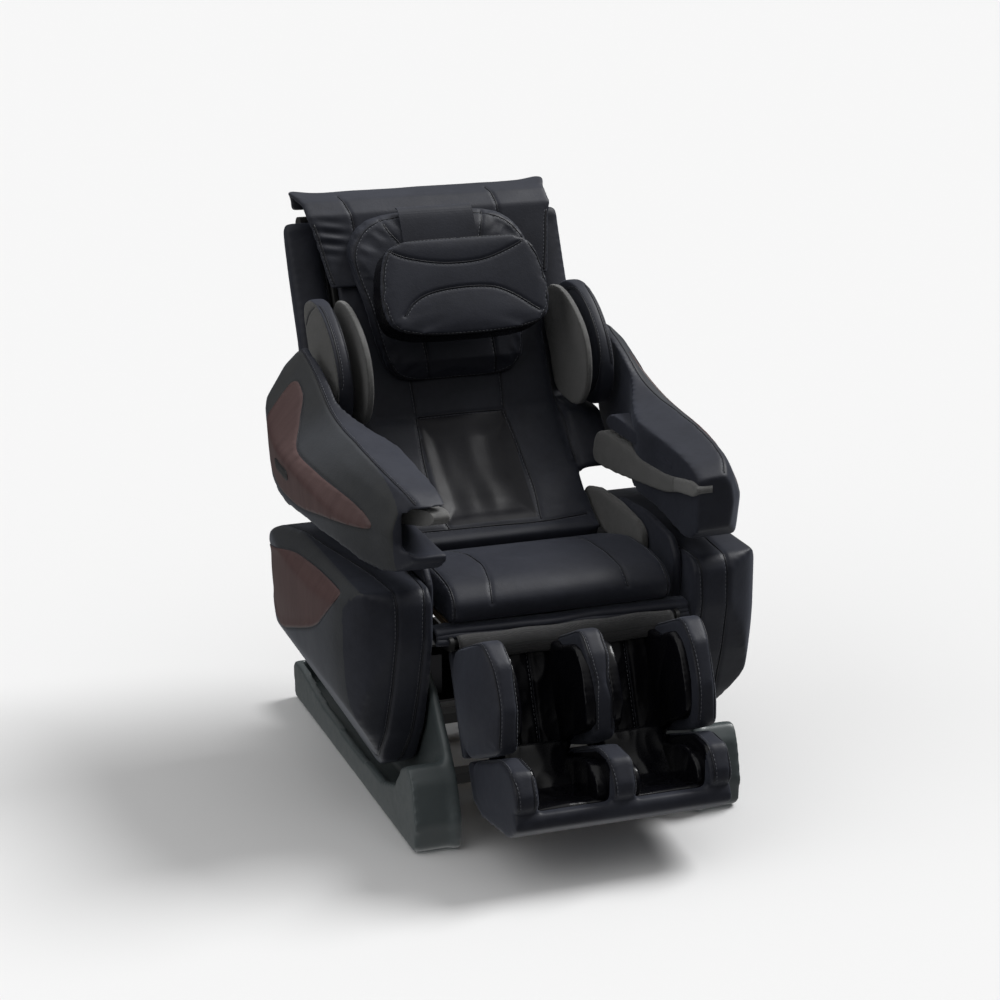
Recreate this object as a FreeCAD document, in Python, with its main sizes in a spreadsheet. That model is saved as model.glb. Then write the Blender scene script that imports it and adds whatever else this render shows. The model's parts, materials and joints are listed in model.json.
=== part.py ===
# Massage chair, built as separate pieces on a tree of moving bodies.
#
# Millimetres.  +Z is up, the chair faces -Y, and the origin lies on the floor under the middle of the
# chair.  "left" and "right" are those of a person who sits in the chair, so left is +X.
#
# Side outlines are lists of (y, z) points.  Leg-rest outlines are given in the leg rest's own directions,
# as (forward, down) from its pivot, and turned by its lean.
import FreeCAD, Part
import math
import os

from FreeCAD import Placement, Rotation, Vector

doc = FreeCAD.newDocument("massage_chair")
nodes = {}

# ---------------------------------------------------------------------------------------------------------
# Driving dimensions
# ---------------------------------------------------------------------------------------------------------
SIZES = (
    ("cushion_half", 244),       # seat cushion, half width
    ("hip_inner", 246),          # inner face of the hip pads
    ("hip_thick", 18),
    ("bolster_inner", 265),      # inner face of the dark side bolsters
    ("bolster_thick", 19),
    ("panel_inner", 285),        # inner face of the side panels
    ("panel_thick", 190),
    ("wood_thick", 5),
    ("arm_inner", 270),          # inner edge of the arms
    ("arm_thick", 205),
    ("cavity_floor", 628),       # hand cavity in each arm
    ("cavity_height", 90),
    ("skirt_inner", 262),
    ("skirt_wall", 18),
    ("skirt_width", 98),
    ("pin_radius", 8),
    ("running_gap", 0.05),       # radial clearance of a pin in its bore
    ("leg_half", 240),           # calf rest, half width
    ("foot_half", 230),
    ("divider", 50),             # width of one divider pad
    ("back_half", 240),          # middle pad of the backrest, half width
    ("back_full", 330),          # backrest with its side bolsters, half width
    ("cover_half", 292),
    ("shell_half", 278),
    ("pillow_half", 195),
    ("head_half", 205),
    ("disc_inner", 246),         # thin inner shoulder disc
    ("disc_inner_thick", 15),
    ("disc_outer", 286),         # thick outer shoulder disc
    ("disc_outer_thick", 36),
    ("tube_radius", 13),
    ("rod_radius", 8),
    ("actuator_radius", 19),
    ("wheel_radius", 30),
    ("wheel_width", 18),
    ("roller_radius", 21),
    ("roller_width", 26),
)

sheet = doc.addObject("Spreadsheet::Sheet", "dims")
for row, (alias, value) in enumerate(SIZES, start=1):
    sheet.set("A%d" % row, alias)
    sheet.set("B%d" % row, str(value))
    sheet.setAlias("B%d" % row, alias)
doc.recompute()
size = dict(SIZES)

# Pivots, as (y, z)
TILT = (380, 220)                # seat on base
RECLINE = (130, 430)             # backrest on seat
LEG = (-340, 410)                # leg rest on seat
ARM = (-150, 582)                # arms on side panels
LEG_LEAN = math.radians(23)      # leg rest, from upright
BACK_LEAN = math.radians(27)     # massage track, from upright
TRACK_FOOT = (364, 582)          # lower end of the massage track
SIDES = (("left", 1), ("right", -1))


# ---------------------------------------------------------------------------------------------------------
# Helpers
# ---------------------------------------------------------------------------------------------------------
def leg(forward, down):
    """A point of the leg rest, given from its pivot along its own directions."""
    y = LEG[0] - forward * math.cos(LEG_LEAN) - down * math.sin(LEG_LEAN)
    z = LEG[1] + forward * math.sin(LEG_LEAN) - down * math.cos(LEG_LEAN)
    return (y, z)


def track(along, behind):
    """A point of the backrest, given from the foot of the massage track: along it, and behind it."""
    y = TRACK_FOOT[0] + along * math.sin(BACK_LEAN) + behind * math.cos(BACK_LEAN)
    z = TRACK_FOOT[1] + along * math.cos(BACK_LEAN) - behind * math.sin(BACK_LEAN)
    return (y, z)


def around(centre, radius, degrees):
    """The point at a radius and an angle from +Y towards +Z."""
    turn = math.radians(degrees)
    return (centre[0] + radius * math.cos(turn), centre[1] + radius * math.sin(turn))


def keep(label, thing):
    """Makes an object one of the chair's nodes."""
    thing.Label = label
    nodes[label] = thing
    return thing


def bind(thing, **expressions):
    """Binds properties to the sheet: a number stays a number, a word is a cell or a formula of cells."""
    for name, value in expressions.items():
        if isinstance(value, str):
            thing.setExpression(name.replace("__", "."), value)
        else:
            setattr(thing, name, value)


def plane_of(body, role):
    return next(feature for feature in body.Origin.OriginFeatures if feature.Role == role)


def rounded(points, radius):
    """A closed outline of straight runs whose corners are arcs."""
    corners = [Vector(a, b, 0) for a, b in points]
    corners = [here for before, here,
               after in zip(corners[-1:] + corners, corners, corners[1:] + corners[:1])
               if (here - before).getAngle(after - here) > 0.02]
    count = len(corners)
    pieces = []
    starts = []
    ends = []
    for i, corner in enumerate(corners):
        back = corners[i - 1] - corner
        ahead = corners[(i + 1) % count] - corner
        half = back.getAngle(ahead) / 2
        reach = min(radius / math.tan(half), 0.48 * min(back.Length, ahead.Length))
        bend = reach * math.tan(half)
        into = corner + back.normalize() * reach
        out = corner + ahead.normalize() * reach
        middle = (back + ahead).normalize()
        top = corner + middle * (bend / math.sin(half) - bend)
        starts.append(into)
        ends.append(out)
        pieces.append(Part.Arc(into, top, out))
    for i in range(count):
        gap = starts[(i + 1) % count] - ends[i]
        if gap.Length > 1e-3:
            pieces.append(Part.LineSegment(ends[i], starts[(i + 1) % count]))
    return pieces


def smooth(points):
    """A closed outline that runs smoothly through its points."""
    curve = Part.BSplineCurve()
    curve.interpolate(Points=[Vector(a, b, 0) for a, b in points], PeriodicFlag=True)
    return [curve]


def add_sketch(body, pieces, role, offset):
    """A sketch on one of the body's own origin planes, moved along the plane's normal."""
    sketch = body.newObject("Sketcher::SketchObject", body.Name + "_outline")
    sketch.AttachmentSupport = [(plane_of(body, role), "")]
    sketch.MapMode = "FlatFace"
    if isinstance(offset, str):
        sketch.setExpression("AttachmentOffset.Base.z", offset)
    else:
        sketch.AttachmentOffset = Placement(Vector(0, 0, offset), Rotation())
    for piece in pieces:
        sketch.addGeometry(piece, False)
    return sketch


def add_pad(body, pieces, role, offset, length, reverse=False):
    sketch = add_sketch(body, pieces, role, offset)
    feature = body.newObject("PartDesign::Pad", body.Name + "_pad")
    feature.Profile = sketch
    feature.Reversed = reverse
    bind(feature, Length=length)
    return feature


def add_pocket(body, pieces, role, offset, length, reverse=False):
    doc.recompute()
    before = body.Shape.Volume
    sketch = add_sketch(body, pieces, role, offset)
    feature = body.newObject("PartDesign::Pocket", body.Name + "_pocket")
    feature.Profile = sketch
    feature.Reversed = reverse
    bind(feature, Length=length)
    doc.recompute()
    if not body.Shape.Volume < before - 1:
        raise RuntimeError(body.Label + ": a pocket cuts nothing")
    return feature


def side_pad(name, pieces, start, width, side=1):
    """A plate or pad drawn in side view, from |x| = start outwards on one side of the chair."""
    body = doc.addObject("PartDesign::Body", name)
    offset = start if side > 0 else "-(%s)" % start
    add_pad(body, pieces, "YZ_Plane", offset, width, reverse=side < 0)
    return body


def middle_pad(name, pieces, half):
    """A pad drawn in side view, centred on the chair's middle plane."""
    body = doc.addObject("PartDesign::Body", name)
    feature = add_pad(body, pieces, "YZ_Plane", 0.0, "2 * (%s)" % half)
    feature.Midplane = True
    return body


def soften(body, radius):
    """Rounds the edges round the two flat sides of a pad drawn in side view."""
    doc.recompute()
    base = body.Tip
    names = []
    for number, edge in enumerate(base.Shape.Edges, start=1):
        box = edge.BoundBox
        if box.XLength < 0.01:
            names.append("Edge%d" % number)
    feature = body.newObject("PartDesign::Fillet", body.Name + "_fillet")
    feature.Base = (base, names)
    feature.Radius = radius
    doc.recompute()
    return body


def box(name, low, high):
    """A block between two corners."""
    block = doc.addObject("Part::Box", name)
    block.Length = high[0] - low[0]
    block.Width = high[1] - low[1]
    block.Height = high[2] - low[2]
    block.Placement = Placement(Vector(*low), Rotation())
    return block


def cylinder_x(name, centre, radius, start, end):
    """A cylinder along X, with its axis through a (y, z) point."""
    rod = doc.addObject("Part::Cylinder", name)
    bind(rod, Radius=radius)
    rod.Height = end - start
    rod.Placement = Placement(Vector(start, centre[0], centre[1]), Rotation(Vector(0, 1, 0), 90))
    return rod


def cylinder_between(name, first, second, radius):
    """A cylinder from one point to another."""
    way = Vector(*second) - Vector(*first)
    rod = doc.addObject("Part::Cylinder", name)
    bind(rod, Radius=radius)
    rod.Height = way.Length
    rod.Placement = Placement(Vector(*first), Rotation(Vector(0, 0, 1), way))
    return rod


def fuse(name, pieces):
    joined = doc.addObject("Part::MultiFuse", name)
    joined.Shapes = pieces
    return joined


def cut(name, base, tool):
    left = doc.addObject("Part::Cut", name)
    left.Base = base
    left.Tool = tool
    return left


def group(name, pieces):
    """Several separate solids that share one node."""
    together = doc.addObject("Part::Compound", name)
    together.Links = pieces
    return together


def plate(name, points, start, end, radius=6):
    """A flat plate drawn in side view between two values of x."""
    body = doc.addObject("PartDesign::Body", name)
    add_pad(body, rounded(points, radius), "YZ_Plane", float(start), float(end - start))
    return body


# ---------------------------------------------------------------------------------------------------------
# Base: frame, skirts, rear cover, supply, wheels, feet
# ---------------------------------------------------------------------------------------------------------
def make_base():
    rail_low, rail_high = 30, 66
    pieces = []
    for side_name, side in SIDES:
        inner, outer = (226, 250) if side > 0 else (-250, -226)
        pieces.append(box("rail_" + side_name, (inner, -225, rail_low), (outer, 420, rail_high)))
        post = [(335, 40), (425, 40), (412, 232), (380, 246), (348, 232)]
        start = 228 if side > 0 else -240
        pieces.append(plate("post_" + side_name, post, start, start + 12, 14))
        pin_start = 236 if side > 0 else -254
        pieces.append(cylinder_x("tilt_pin_" + side_name, TILT, "dims.pin_radius", pin_start,
                                 pin_start + 18))
        arm = box("wheel_arm_" + side_name, (side * 230 - 4, 410, 24), (side * 230 + 4, 470, 48))
        pieces.append(arm)
        axle_start = 230 if side > 0 else -258
        pieces.append(cylinder_x("wheel_axle_" + side_name, (455, 36), 5.0, axle_start, axle_start + 28))
        tab_low = 250 if side > 0 else -262
        for y in (-160, 240):
            pieces.append(box("tab_%s_%d" % (side_name, y + 200), (tab_low, y, 34),
                              (tab_low + 12, y + 50, 60)))
    for y in (-205, 120):
        pieces.append(box("cross_%d" % (y + 300), (-228, y, 36), (228, y + 36, 60)))
    foot_of_tilt = box("tilt_ears", (-30, -190, 56), (30, -150, 96))
    slot = box("tilt_ears_gap", (-22, -200, 62), (22, -140, 100))
    pieces.append(cut("tilt_fork", foot_of_tilt, slot))
    keep("base_frame", fuse("base_frame", pieces))

    low_wall = [(-438, 3), (-446, 70), (-424, 150), (-398, 182), (-350, 160), (-300, 100), (-215, 72),
                (0, 62), (250, 72), (430, 96), (488, 92), (484, 3)]
    high_wall = [(-446, 3), (-456, 70), (-426, 148), (-376, 216), (-301, 296), (-250, 330), (40, 330),
                 (260, 210), (440, 130), (488, 92), (484, 3)]
    for side_name, side in SIDES:
        skirt = side_pad("skirt_" + side_name, rounded(low_wall, 18), "dims.skirt_inner",
                         "dims.skirt_width", side)
        offset = "dims.skirt_inner" if side > 0 else "-dims.skirt_inner"
        add_pad(skirt, rounded(high_wall, 18), "YZ_Plane", offset, "dims.skirt_wall", reverse=side < 0)
        trough = [(-318, 40), (-318, 200), (478, 200), (470, 40)]
        start = "dims.skirt_inner + dims.skirt_wall"
        add_pocket(skirt, rounded(trough, 10), "YZ_Plane", start if side > 0 else "-(%s)" % start, 62.0,
                   reverse=side > 0)
        keep("skirt_" + side_name, skirt)

    cover = box("cover_outside", (-214, 300, 14), (214, 478, 158))
    hollow = box("cover_inside", (-209, 290, 19), (209, 473, 153))
    keep("rear_cover", cut("rear_cover", cover, hollow))
    keep("power_box", box("power_box", (-205, 330, 24), (-45, 450, 120)))

    tank = box("pump_block", (40, 330, 24), (200, 440, 100))
    domes = [cylinder_between("pump_dome_%d" % i, (x, 385, 95), (x, 385, 132), 34.0)
             for i, x in enumerate((80, 160))]
    keep("air_pump", fuse("air_pump", [tank] + domes))

    inlet = box("inlet_block", (-150, 478, 60), (-98, 486, 96))
    recess = box("inlet_recess", (-144, 481, 66), (-104, 488, 90))
    blades = [box("inlet_blade_%d" % i, (x - 2, 480, 74), (x + 2, 486, 82))
              for i, x in enumerate((-136, -124, -112))]
    keep("mains_inlet", fuse("mains_inlet", [cut("inlet_cup", inlet, recess)] + blades))

    feet = [cylinder_between("foot_%d" % i, (x, y, 0), (x, y, 30), 20.0)
            for i, (x, y) in enumerate(((-238, -190), (238, -190), (-238, 330), (238, 330)))]
    keep("rubber_feet", group("rubber_feet", feet))

    for side_name, side in SIDES:
        start = 238 if side > 0 else -256
        tread = cylinder_x("tread_" + side_name, (455, 36), "dims.wheel_radius", start, start + 18)
        bore = cylinder_x("wheel_bore_" + side_name, (455, 36), "5 + dims.running_gap", start - 1,
                          start + 19)
        keep("wheel_" + side_name, cut("wheel_" + side_name, tread, bore))

    rocker = [(480, 71), (480, 89), (488, 90), (486, 80), (488, 70)]
    keep("power_switch", plate("power_switch", rocker, -70, -52, 1.5))


# ---------------------------------------------------------------------------------------------------------
# Actuators: a tube with its gearbox on one body, and a rod that slides
# ---------------------------------------------------------------------------------------------------------
def make_actuator(name, foot, head, tube_length, inserted, gearbox, rod_end):
    """Tube from foot towards head; the rod runs out of it and carries the given end piece."""
    way = (Vector(*head) - Vector(*foot)).normalize()
    base = Vector(*foot)
    tube_end = base + way * tube_length
    tube = cylinder_between(name + "_case", base, tube_end, "dims.actuator_radius")
    bore = cylinder_between(name + "_bore", base + way * 20, tube_end + way, "dims.rod_radius + 1")
    motor = box(name + "_gearbox", gearbox[0], gearbox[1])
    keep(name + "_tube", cut(name + "_tube", fuse(name + "_outside", [tube, motor]), bore))
    rod = cylinder_between(name + "_shaft", base + way * (tube_length - inserted), Vector(*head),
                           "dims.rod_radius")
    keep(name + "_rod", fuse(name + "_rod", [rod] + rod_end))


def yoke(name, centre, x, half_width, half_height):
    """A slotted end plate that leaves the driven pin room to swing."""
    y, z = centre
    wall = 6
    outside = box(name + "_plate", (x - 3, y - half_width - wall, z - half_height - wall),
                  (x + 3, y + half_width + wall, z + half_height + wall))
    slot = box(name + "_slot", (x - 4, y - half_width, z - half_height),
               (x + 4, y + half_width, z + half_height))
    return cut(name, outside, slot)


RECLINE_PIN = around(RECLINE, 76, -66.8)
LEG_PIN = (LEG[0] + 55, LEG[1] - 100)
TILT_PIN = (-60, 350)
TILT_WAY = (0.382, 0.924)


def make_actuators():
    x = -100
    y, z = RECLINE_PIN[0], 358.5
    make_actuator("recline", (x, -200, z), (x, y - 17, z), 210, 130,
                  ((x - 22, -196, z - 62), (x + 22, -130, z - 14)),
                  [yoke("recline_yoke", (y, z), x, 11, 13)])
    x = 100
    y, z = LEG_PIN[0], 310
    make_actuator("leg", (x, 30, z), (x, y + 17, z), 190, 145,
                  ((x - 22, -36, z - 62), (x + 22, 26, z - 14)),
                  [yoke("leg_yoke", (y, z), x, 11, 24)])
    y, z = TILT_PIN
    foot = (0, y - 250 * TILT_WAY[0], z - 250 * TILT_WAY[1])
    head = (0, y - 16 * TILT_WAY[0], z - 16 * TILT_WAY[1])
    eye = cylinder_x("tilt_eye_ring", TILT_PIN, 17.0, -5, 5)
    hole = cylinder_x("tilt_eye_hole", TILT_PIN, 11.0, -6, 6)
    make_actuator("tilt", foot, head, 140, 110,
                  ((-20, foot[1] - 62, foot[2] - 2), (20, foot[1] - 6, foot[2] + 62)),
                  [cut("tilt_eye", eye, hole)])


# ---------------------------------------------------------------------------------------------------------
# Seat: frame, pan, cushion, flap, side panels with their inserts and pads
# ---------------------------------------------------------------------------------------------------------
def pin_with_ears(name, centre, x, ear_points):
    """Two ears that hold a short pin across a gap of 20 mm."""
    pieces = [plate(name + "_ear_a", ear_points, x - 16, x - 10, 5)]
    pieces.append(plate(name + "_ear_b", ear_points, x + 10, x + 16, 5))
    pieces.append(cylinder_x(name + "_pin", centre, 6.0, x - 15, x + 15))
    return pieces


def make_seat():
    side_plate = [(-356, 396), (-356, 424), (-290, 424), (80, 424), (112, 446), (148, 446), (170, 424),
                  (404, 246),
                  (410, 205), (368, 196), (130, 372), (-290, 384)]
    pieces = []
    for side_name, side in SIDES:
        start = 244 if side > 0 else -252
        body = plate("seat_plate_" + side_name, side_plate, start, start + 8, 12)
        hole = cylinder_x("tilt_bore_" + side_name, TILT, "dims.pin_radius + dims.running_gap",
                          start - 2, start + 10)
        pieces.append(cut("seat_plate_bored_" + side_name, body, hole))
        pin_start = 222 if side > 0 else -248
        pieces.append(cylinder_x("recline_pin_" + side_name, RECLINE, "dims.pin_radius", pin_start,
                                 pin_start + 26))
        for y in (-230, 60):
            low = 252 if side > 0 else -285
            pieces.append(box("panel_bracket_%s_%d" % (side_name, y + 300), (low, y, 388),
                              (low + 33, y + 50, 398)))
    pieces.append(cylinder_x("leg_shaft", LEG, "dims.pin_radius", -246, 246))
    pieces.append(cylinder_x("seat_cross_front", (-245, 404), "dims.tube_radius", -246, 246))
    pieces.append(cylinder_x("seat_cross_middle", (-62, 400), "dims.tube_radius", -246, 246))
    pieces.append(cylinder_x("seat_cross_low", (52, 396), "dims.tube_radius", -246, 246))
    ears = [(-78, 334), (-42, 334), (-50, 400), (-74, 400)]
    pieces += pin_with_ears("tilt_lug", TILT_PIN, 0, ears)
    pieces.append(box("recline_hanger_a", (-134, -256, 340), (-126, -190, 404)))
    pieces.append(box("recline_hanger_b", (-74, -256, 340), (-66, -190, 404)))
    pieces.append(box("recline_hanger_back", (-134, -256, 340), (-66, -201, 350)))
    pieces.append(box("leg_hanger_a", (72, 32, 296), (80, 66, 396)))
    pieces.append(box("leg_hanger_b", (120, 32, 296), (128, 66, 396)))
    pieces.append(box("leg_hanger_back", (72, 32, 296), (128, 66, 304)))
    keep("seat_frame", fuse("seat_frame", pieces))

    keep("seat_pan", box("seat_pan", (-240, -300, 425), (240, 66, 437)))
    cushion = [(-328, 440), (-336, 488), (-292, 516), (-215, 524), (-120, 520), (-30, 496), (50, 472),
               (66, 440)]
    keep("seat_cushion", soften(middle_pad("seat_cushion", rounded(cushion, 34), "dims.cushion_half"), 7))
    flap = [(-338, 424), (-338, 438), (-302, 438), (-302, 424)]
    keep("seat_flap", middle_pad("seat_flap", rounded(flap, 5), "dims.cushion_half + 34"))

    wood = [(-245, 500), (-200, 512), (60, 500), (235, 462), (400, 420), (400, 330), (200, 296), (30, 345),
            (-120, 400), (-180, 440)]
    for side_name, side in SIDES:
        make_inlaid("side_panel_" + side_name, "panel_wood_" + side_name, make_panel,
                    rounded(wood, 20), side)
        bolster = [(-285, 400), (-290, 520), (-255, 556), (-120, 570), (20, 560), (95, 525),
                   (110, 450), (90, 400)]
        pad = soften(side_pad("side_bolster_" + side_name, rounded(bolster, 40), "dims.bolster_inner",
                              "dims.bolster_thick", side), 5)
        keep("side_bolster_" + side_name, pad)
        hip = [(-160, 470), (-160, 536), (-122, 552), (-10, 564), (98, 562), (172, 546), (205, 508),
               (196, 470)]
        pad = soften(side_pad("hip_pad_" + side_name, rounded(hip, 34), "dims.hip_inner",
                              "dims.hip_thick", side), 6)
        keep("hip_pad_" + side_name, pad)


def make_panel(name, side):
    outline = [(-348, 500), (-330, 530), (-200, 531), (110, 531), (240, 508), (330, 462), (366, 395),
               (350, 310),
               (290, 238), (200, 186), (90, 140), (-40, 98), (-146, 80), (-224, 120), (-283, 210),
               (-322, 316),
               (-350, 430)]
    panel = side_pad(name, rounded(outline, 40), "dims.panel_inner", "dims.panel_thick + 8", side)
    curve = [(335, -372), (375, -346), (428, -318), (456, -272), (472, -180), (478, -40), (477, 120),
             (464, 260),
             (430, 390)]
    trim_outer(panel, curve, side, 80, 560)
    trim_front(panel, [(352, 60), (476, 300), (530, 300), (530, 60)], side)
    trim_front(panel, [(420, 545), (484, 470), (530, 470), (530, 545)], side)
    return panel


def make_inlaid(name, insert_name, make_base, outline, side):
    """A bulged piece with a thin insert let into its outer face."""
    whole = make_base(name + "_whole", side)
    depth = make_base(name + "_depth", side)
    depth.Placement = Placement(Vector(-side * size["wood_thick"], 0, 0), Rotation())
    region = side_pad(insert_name + "_region", outline, 380.0, 120.0, side)
    common = doc.addObject("Part::MultiCommon", insert_name + "_face")
    common.Shapes = [whole, region]
    insert = cut(insert_name, common, depth)
    keep(insert_name, insert)
    return keep(name, cut(name, whole, insert))


def trim_front(body, corners, side):
    """Cuts away a region drawn in front view, as (|x|, z) points, along the whole of the body."""
    pieces = rounded([(side * x, z) for x, z in corners], 4)
    add_pocket(body, pieces, "XZ_Plane", 600.0, 1200.0)


def trim_outer(body, curve, side, low, high):
    """Cuts a pad back to a plan curve of (|x|, y) points, between two heights."""
    edge = [Vector(side * x, y, 0) for x, y in curve]
    spline = Part.BSplineCurve()
    spline.interpolate(edge)
    far = side * 520
    first, last = edge[0], edge[-1]
    corners = [last, Vector(far, last.y, 0), Vector(far, first.y, 0), first]
    pieces = [spline] + [Part.LineSegment(a, b) for a, b in zip(corners, corners[1:])]
    add_pocket(body, pieces, "XY_Plane", float(low - 20), float(high - low + 40), reverse=True)


# ---------------------------------------------------------------------------------------------------------
# Arms: C-shaped shells with a hand cavity
# ---------------------------------------------------------------------------------------------------------
def make_arm(name, side):
    outline = [(-392, 722), (-300, 753), (-60, 777), (90, 788), (215, 838), (310, 868), (366, 868),
               (368, 730),
               (306, 628), (215, 590), (50, 600), (-120, 600), (-300, 576), (-350, 576), (-392, 606)]
    arm = side_pad(name, rounded(outline, 26), "dims.arm_inner", "dims.arm_thick", side)
    curve = [(332, -430), (354, -385), (404, -290), (442, -160), (465, 0), (472, 150), (462, 270),
             (430, 350),
             (410, 400)]
    trim_outer(arm, curve, side, 570, 910)
    trim_front(arm, [(366, 930), (366, 872), (480, 690), (540, 690), (540, 930)], side)
    beside_back = [(side * x, y) for x, y in ((250, 50), (268, 50), (338, 130), (338, 420), (250, 420))]
    add_pocket(arm, rounded(beside_back, 2), "XY_Plane", 540.0, 400.0, reverse=True)
    cavity = [(side * x, y) for x, y in ((255, -430), (330, -430), (350, -372), (374, -300), (400, -210),
                                         (400, 60), (255, 60))]
    add_pocket(arm, rounded(cavity, 8), "XY_Plane", "dims.cavity_floor", "dims.cavity_height",
               reverse=True)
    notch = [(side * x, y) for x, y in ((255, -430), (500, -430), (500, -348), (255, -348))]
    add_pocket(arm, rounded(notch, 4), "XY_Plane", "dims.cavity_floor", 78.0, reverse=True)
    lug_plate = plate(name + "_lug", [(-168, 566), (-132, 566), (-128, 606), (-172, 606)],
                      side * 347 - 5, side * 347 + 5, 8)
    bore = cylinder_x(name + "_bore", ARM, "6 + dims.running_gap", side * 347 - 6, side * 347 + 6)
    return fuse(name + "_with_lug", [arm, cut(name + "_lug_bored", lug_plate, bore)])


def make_arms():
    wood = [(-300, 660), (-240, 690), (-60, 708), (90, 722), (170, 760), (230, 812), (300, 812),
            (270, 640),
            (60, 618), (-130, 640)]
    brackets = []
    for side_name, side in SIDES:
        make_inlaid("arm_shell_" + side_name, "arm_wood_" + side_name, make_arm, rounded(wood, 14), side)
        pad = [(-384, 629), (-388, 652), (-360, 656), (40, 648), (58, 640), (56, 629)]
        start = "dims.arm_inner + 3"
        rest = side_pad("hand_pad_" + side_name, rounded(pad, 6), start, 120.0, side)
        beyond = [(side * x, y) for x, y in ((316, -440), (340, -372), (364, -300), (388, -212), (392, 80),
                                             (480, 80), (480, -440))]
        add_pocket(rest, rounded(beyond, 2), "XY_Plane", 600.0, 100.0, reverse=True)
        keep("hand_pad_" + side_name, rest)
        airbag = [(-210, 692), (-210, 717), (50, 717), (50, 692)]
        keep("hand_airbag_" + side_name,
             side_pad("hand_airbag_" + side_name, rounded(airbag, 8), "dims.arm_inner + 12", 108.0, side))

        ear_start = 331 if side > 0 else -341
        foot = plate("arm_bracket_" + side_name, [(-190, 532), (-110, 532), (-134, 590), (-166, 590)],
                     ear_start,
                     ear_start + 10, 10)
        pin_start = 335 if side > 0 else -354
        pin = cylinder_x("arm_pin_" + side_name, ARM, 6.0, pin_start, pin_start + 19)
        brackets.append(fuse("arm_post_" + side_name, [foot, pin]))
    keep("arm_brackets", group("arm_brackets", brackets))


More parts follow.
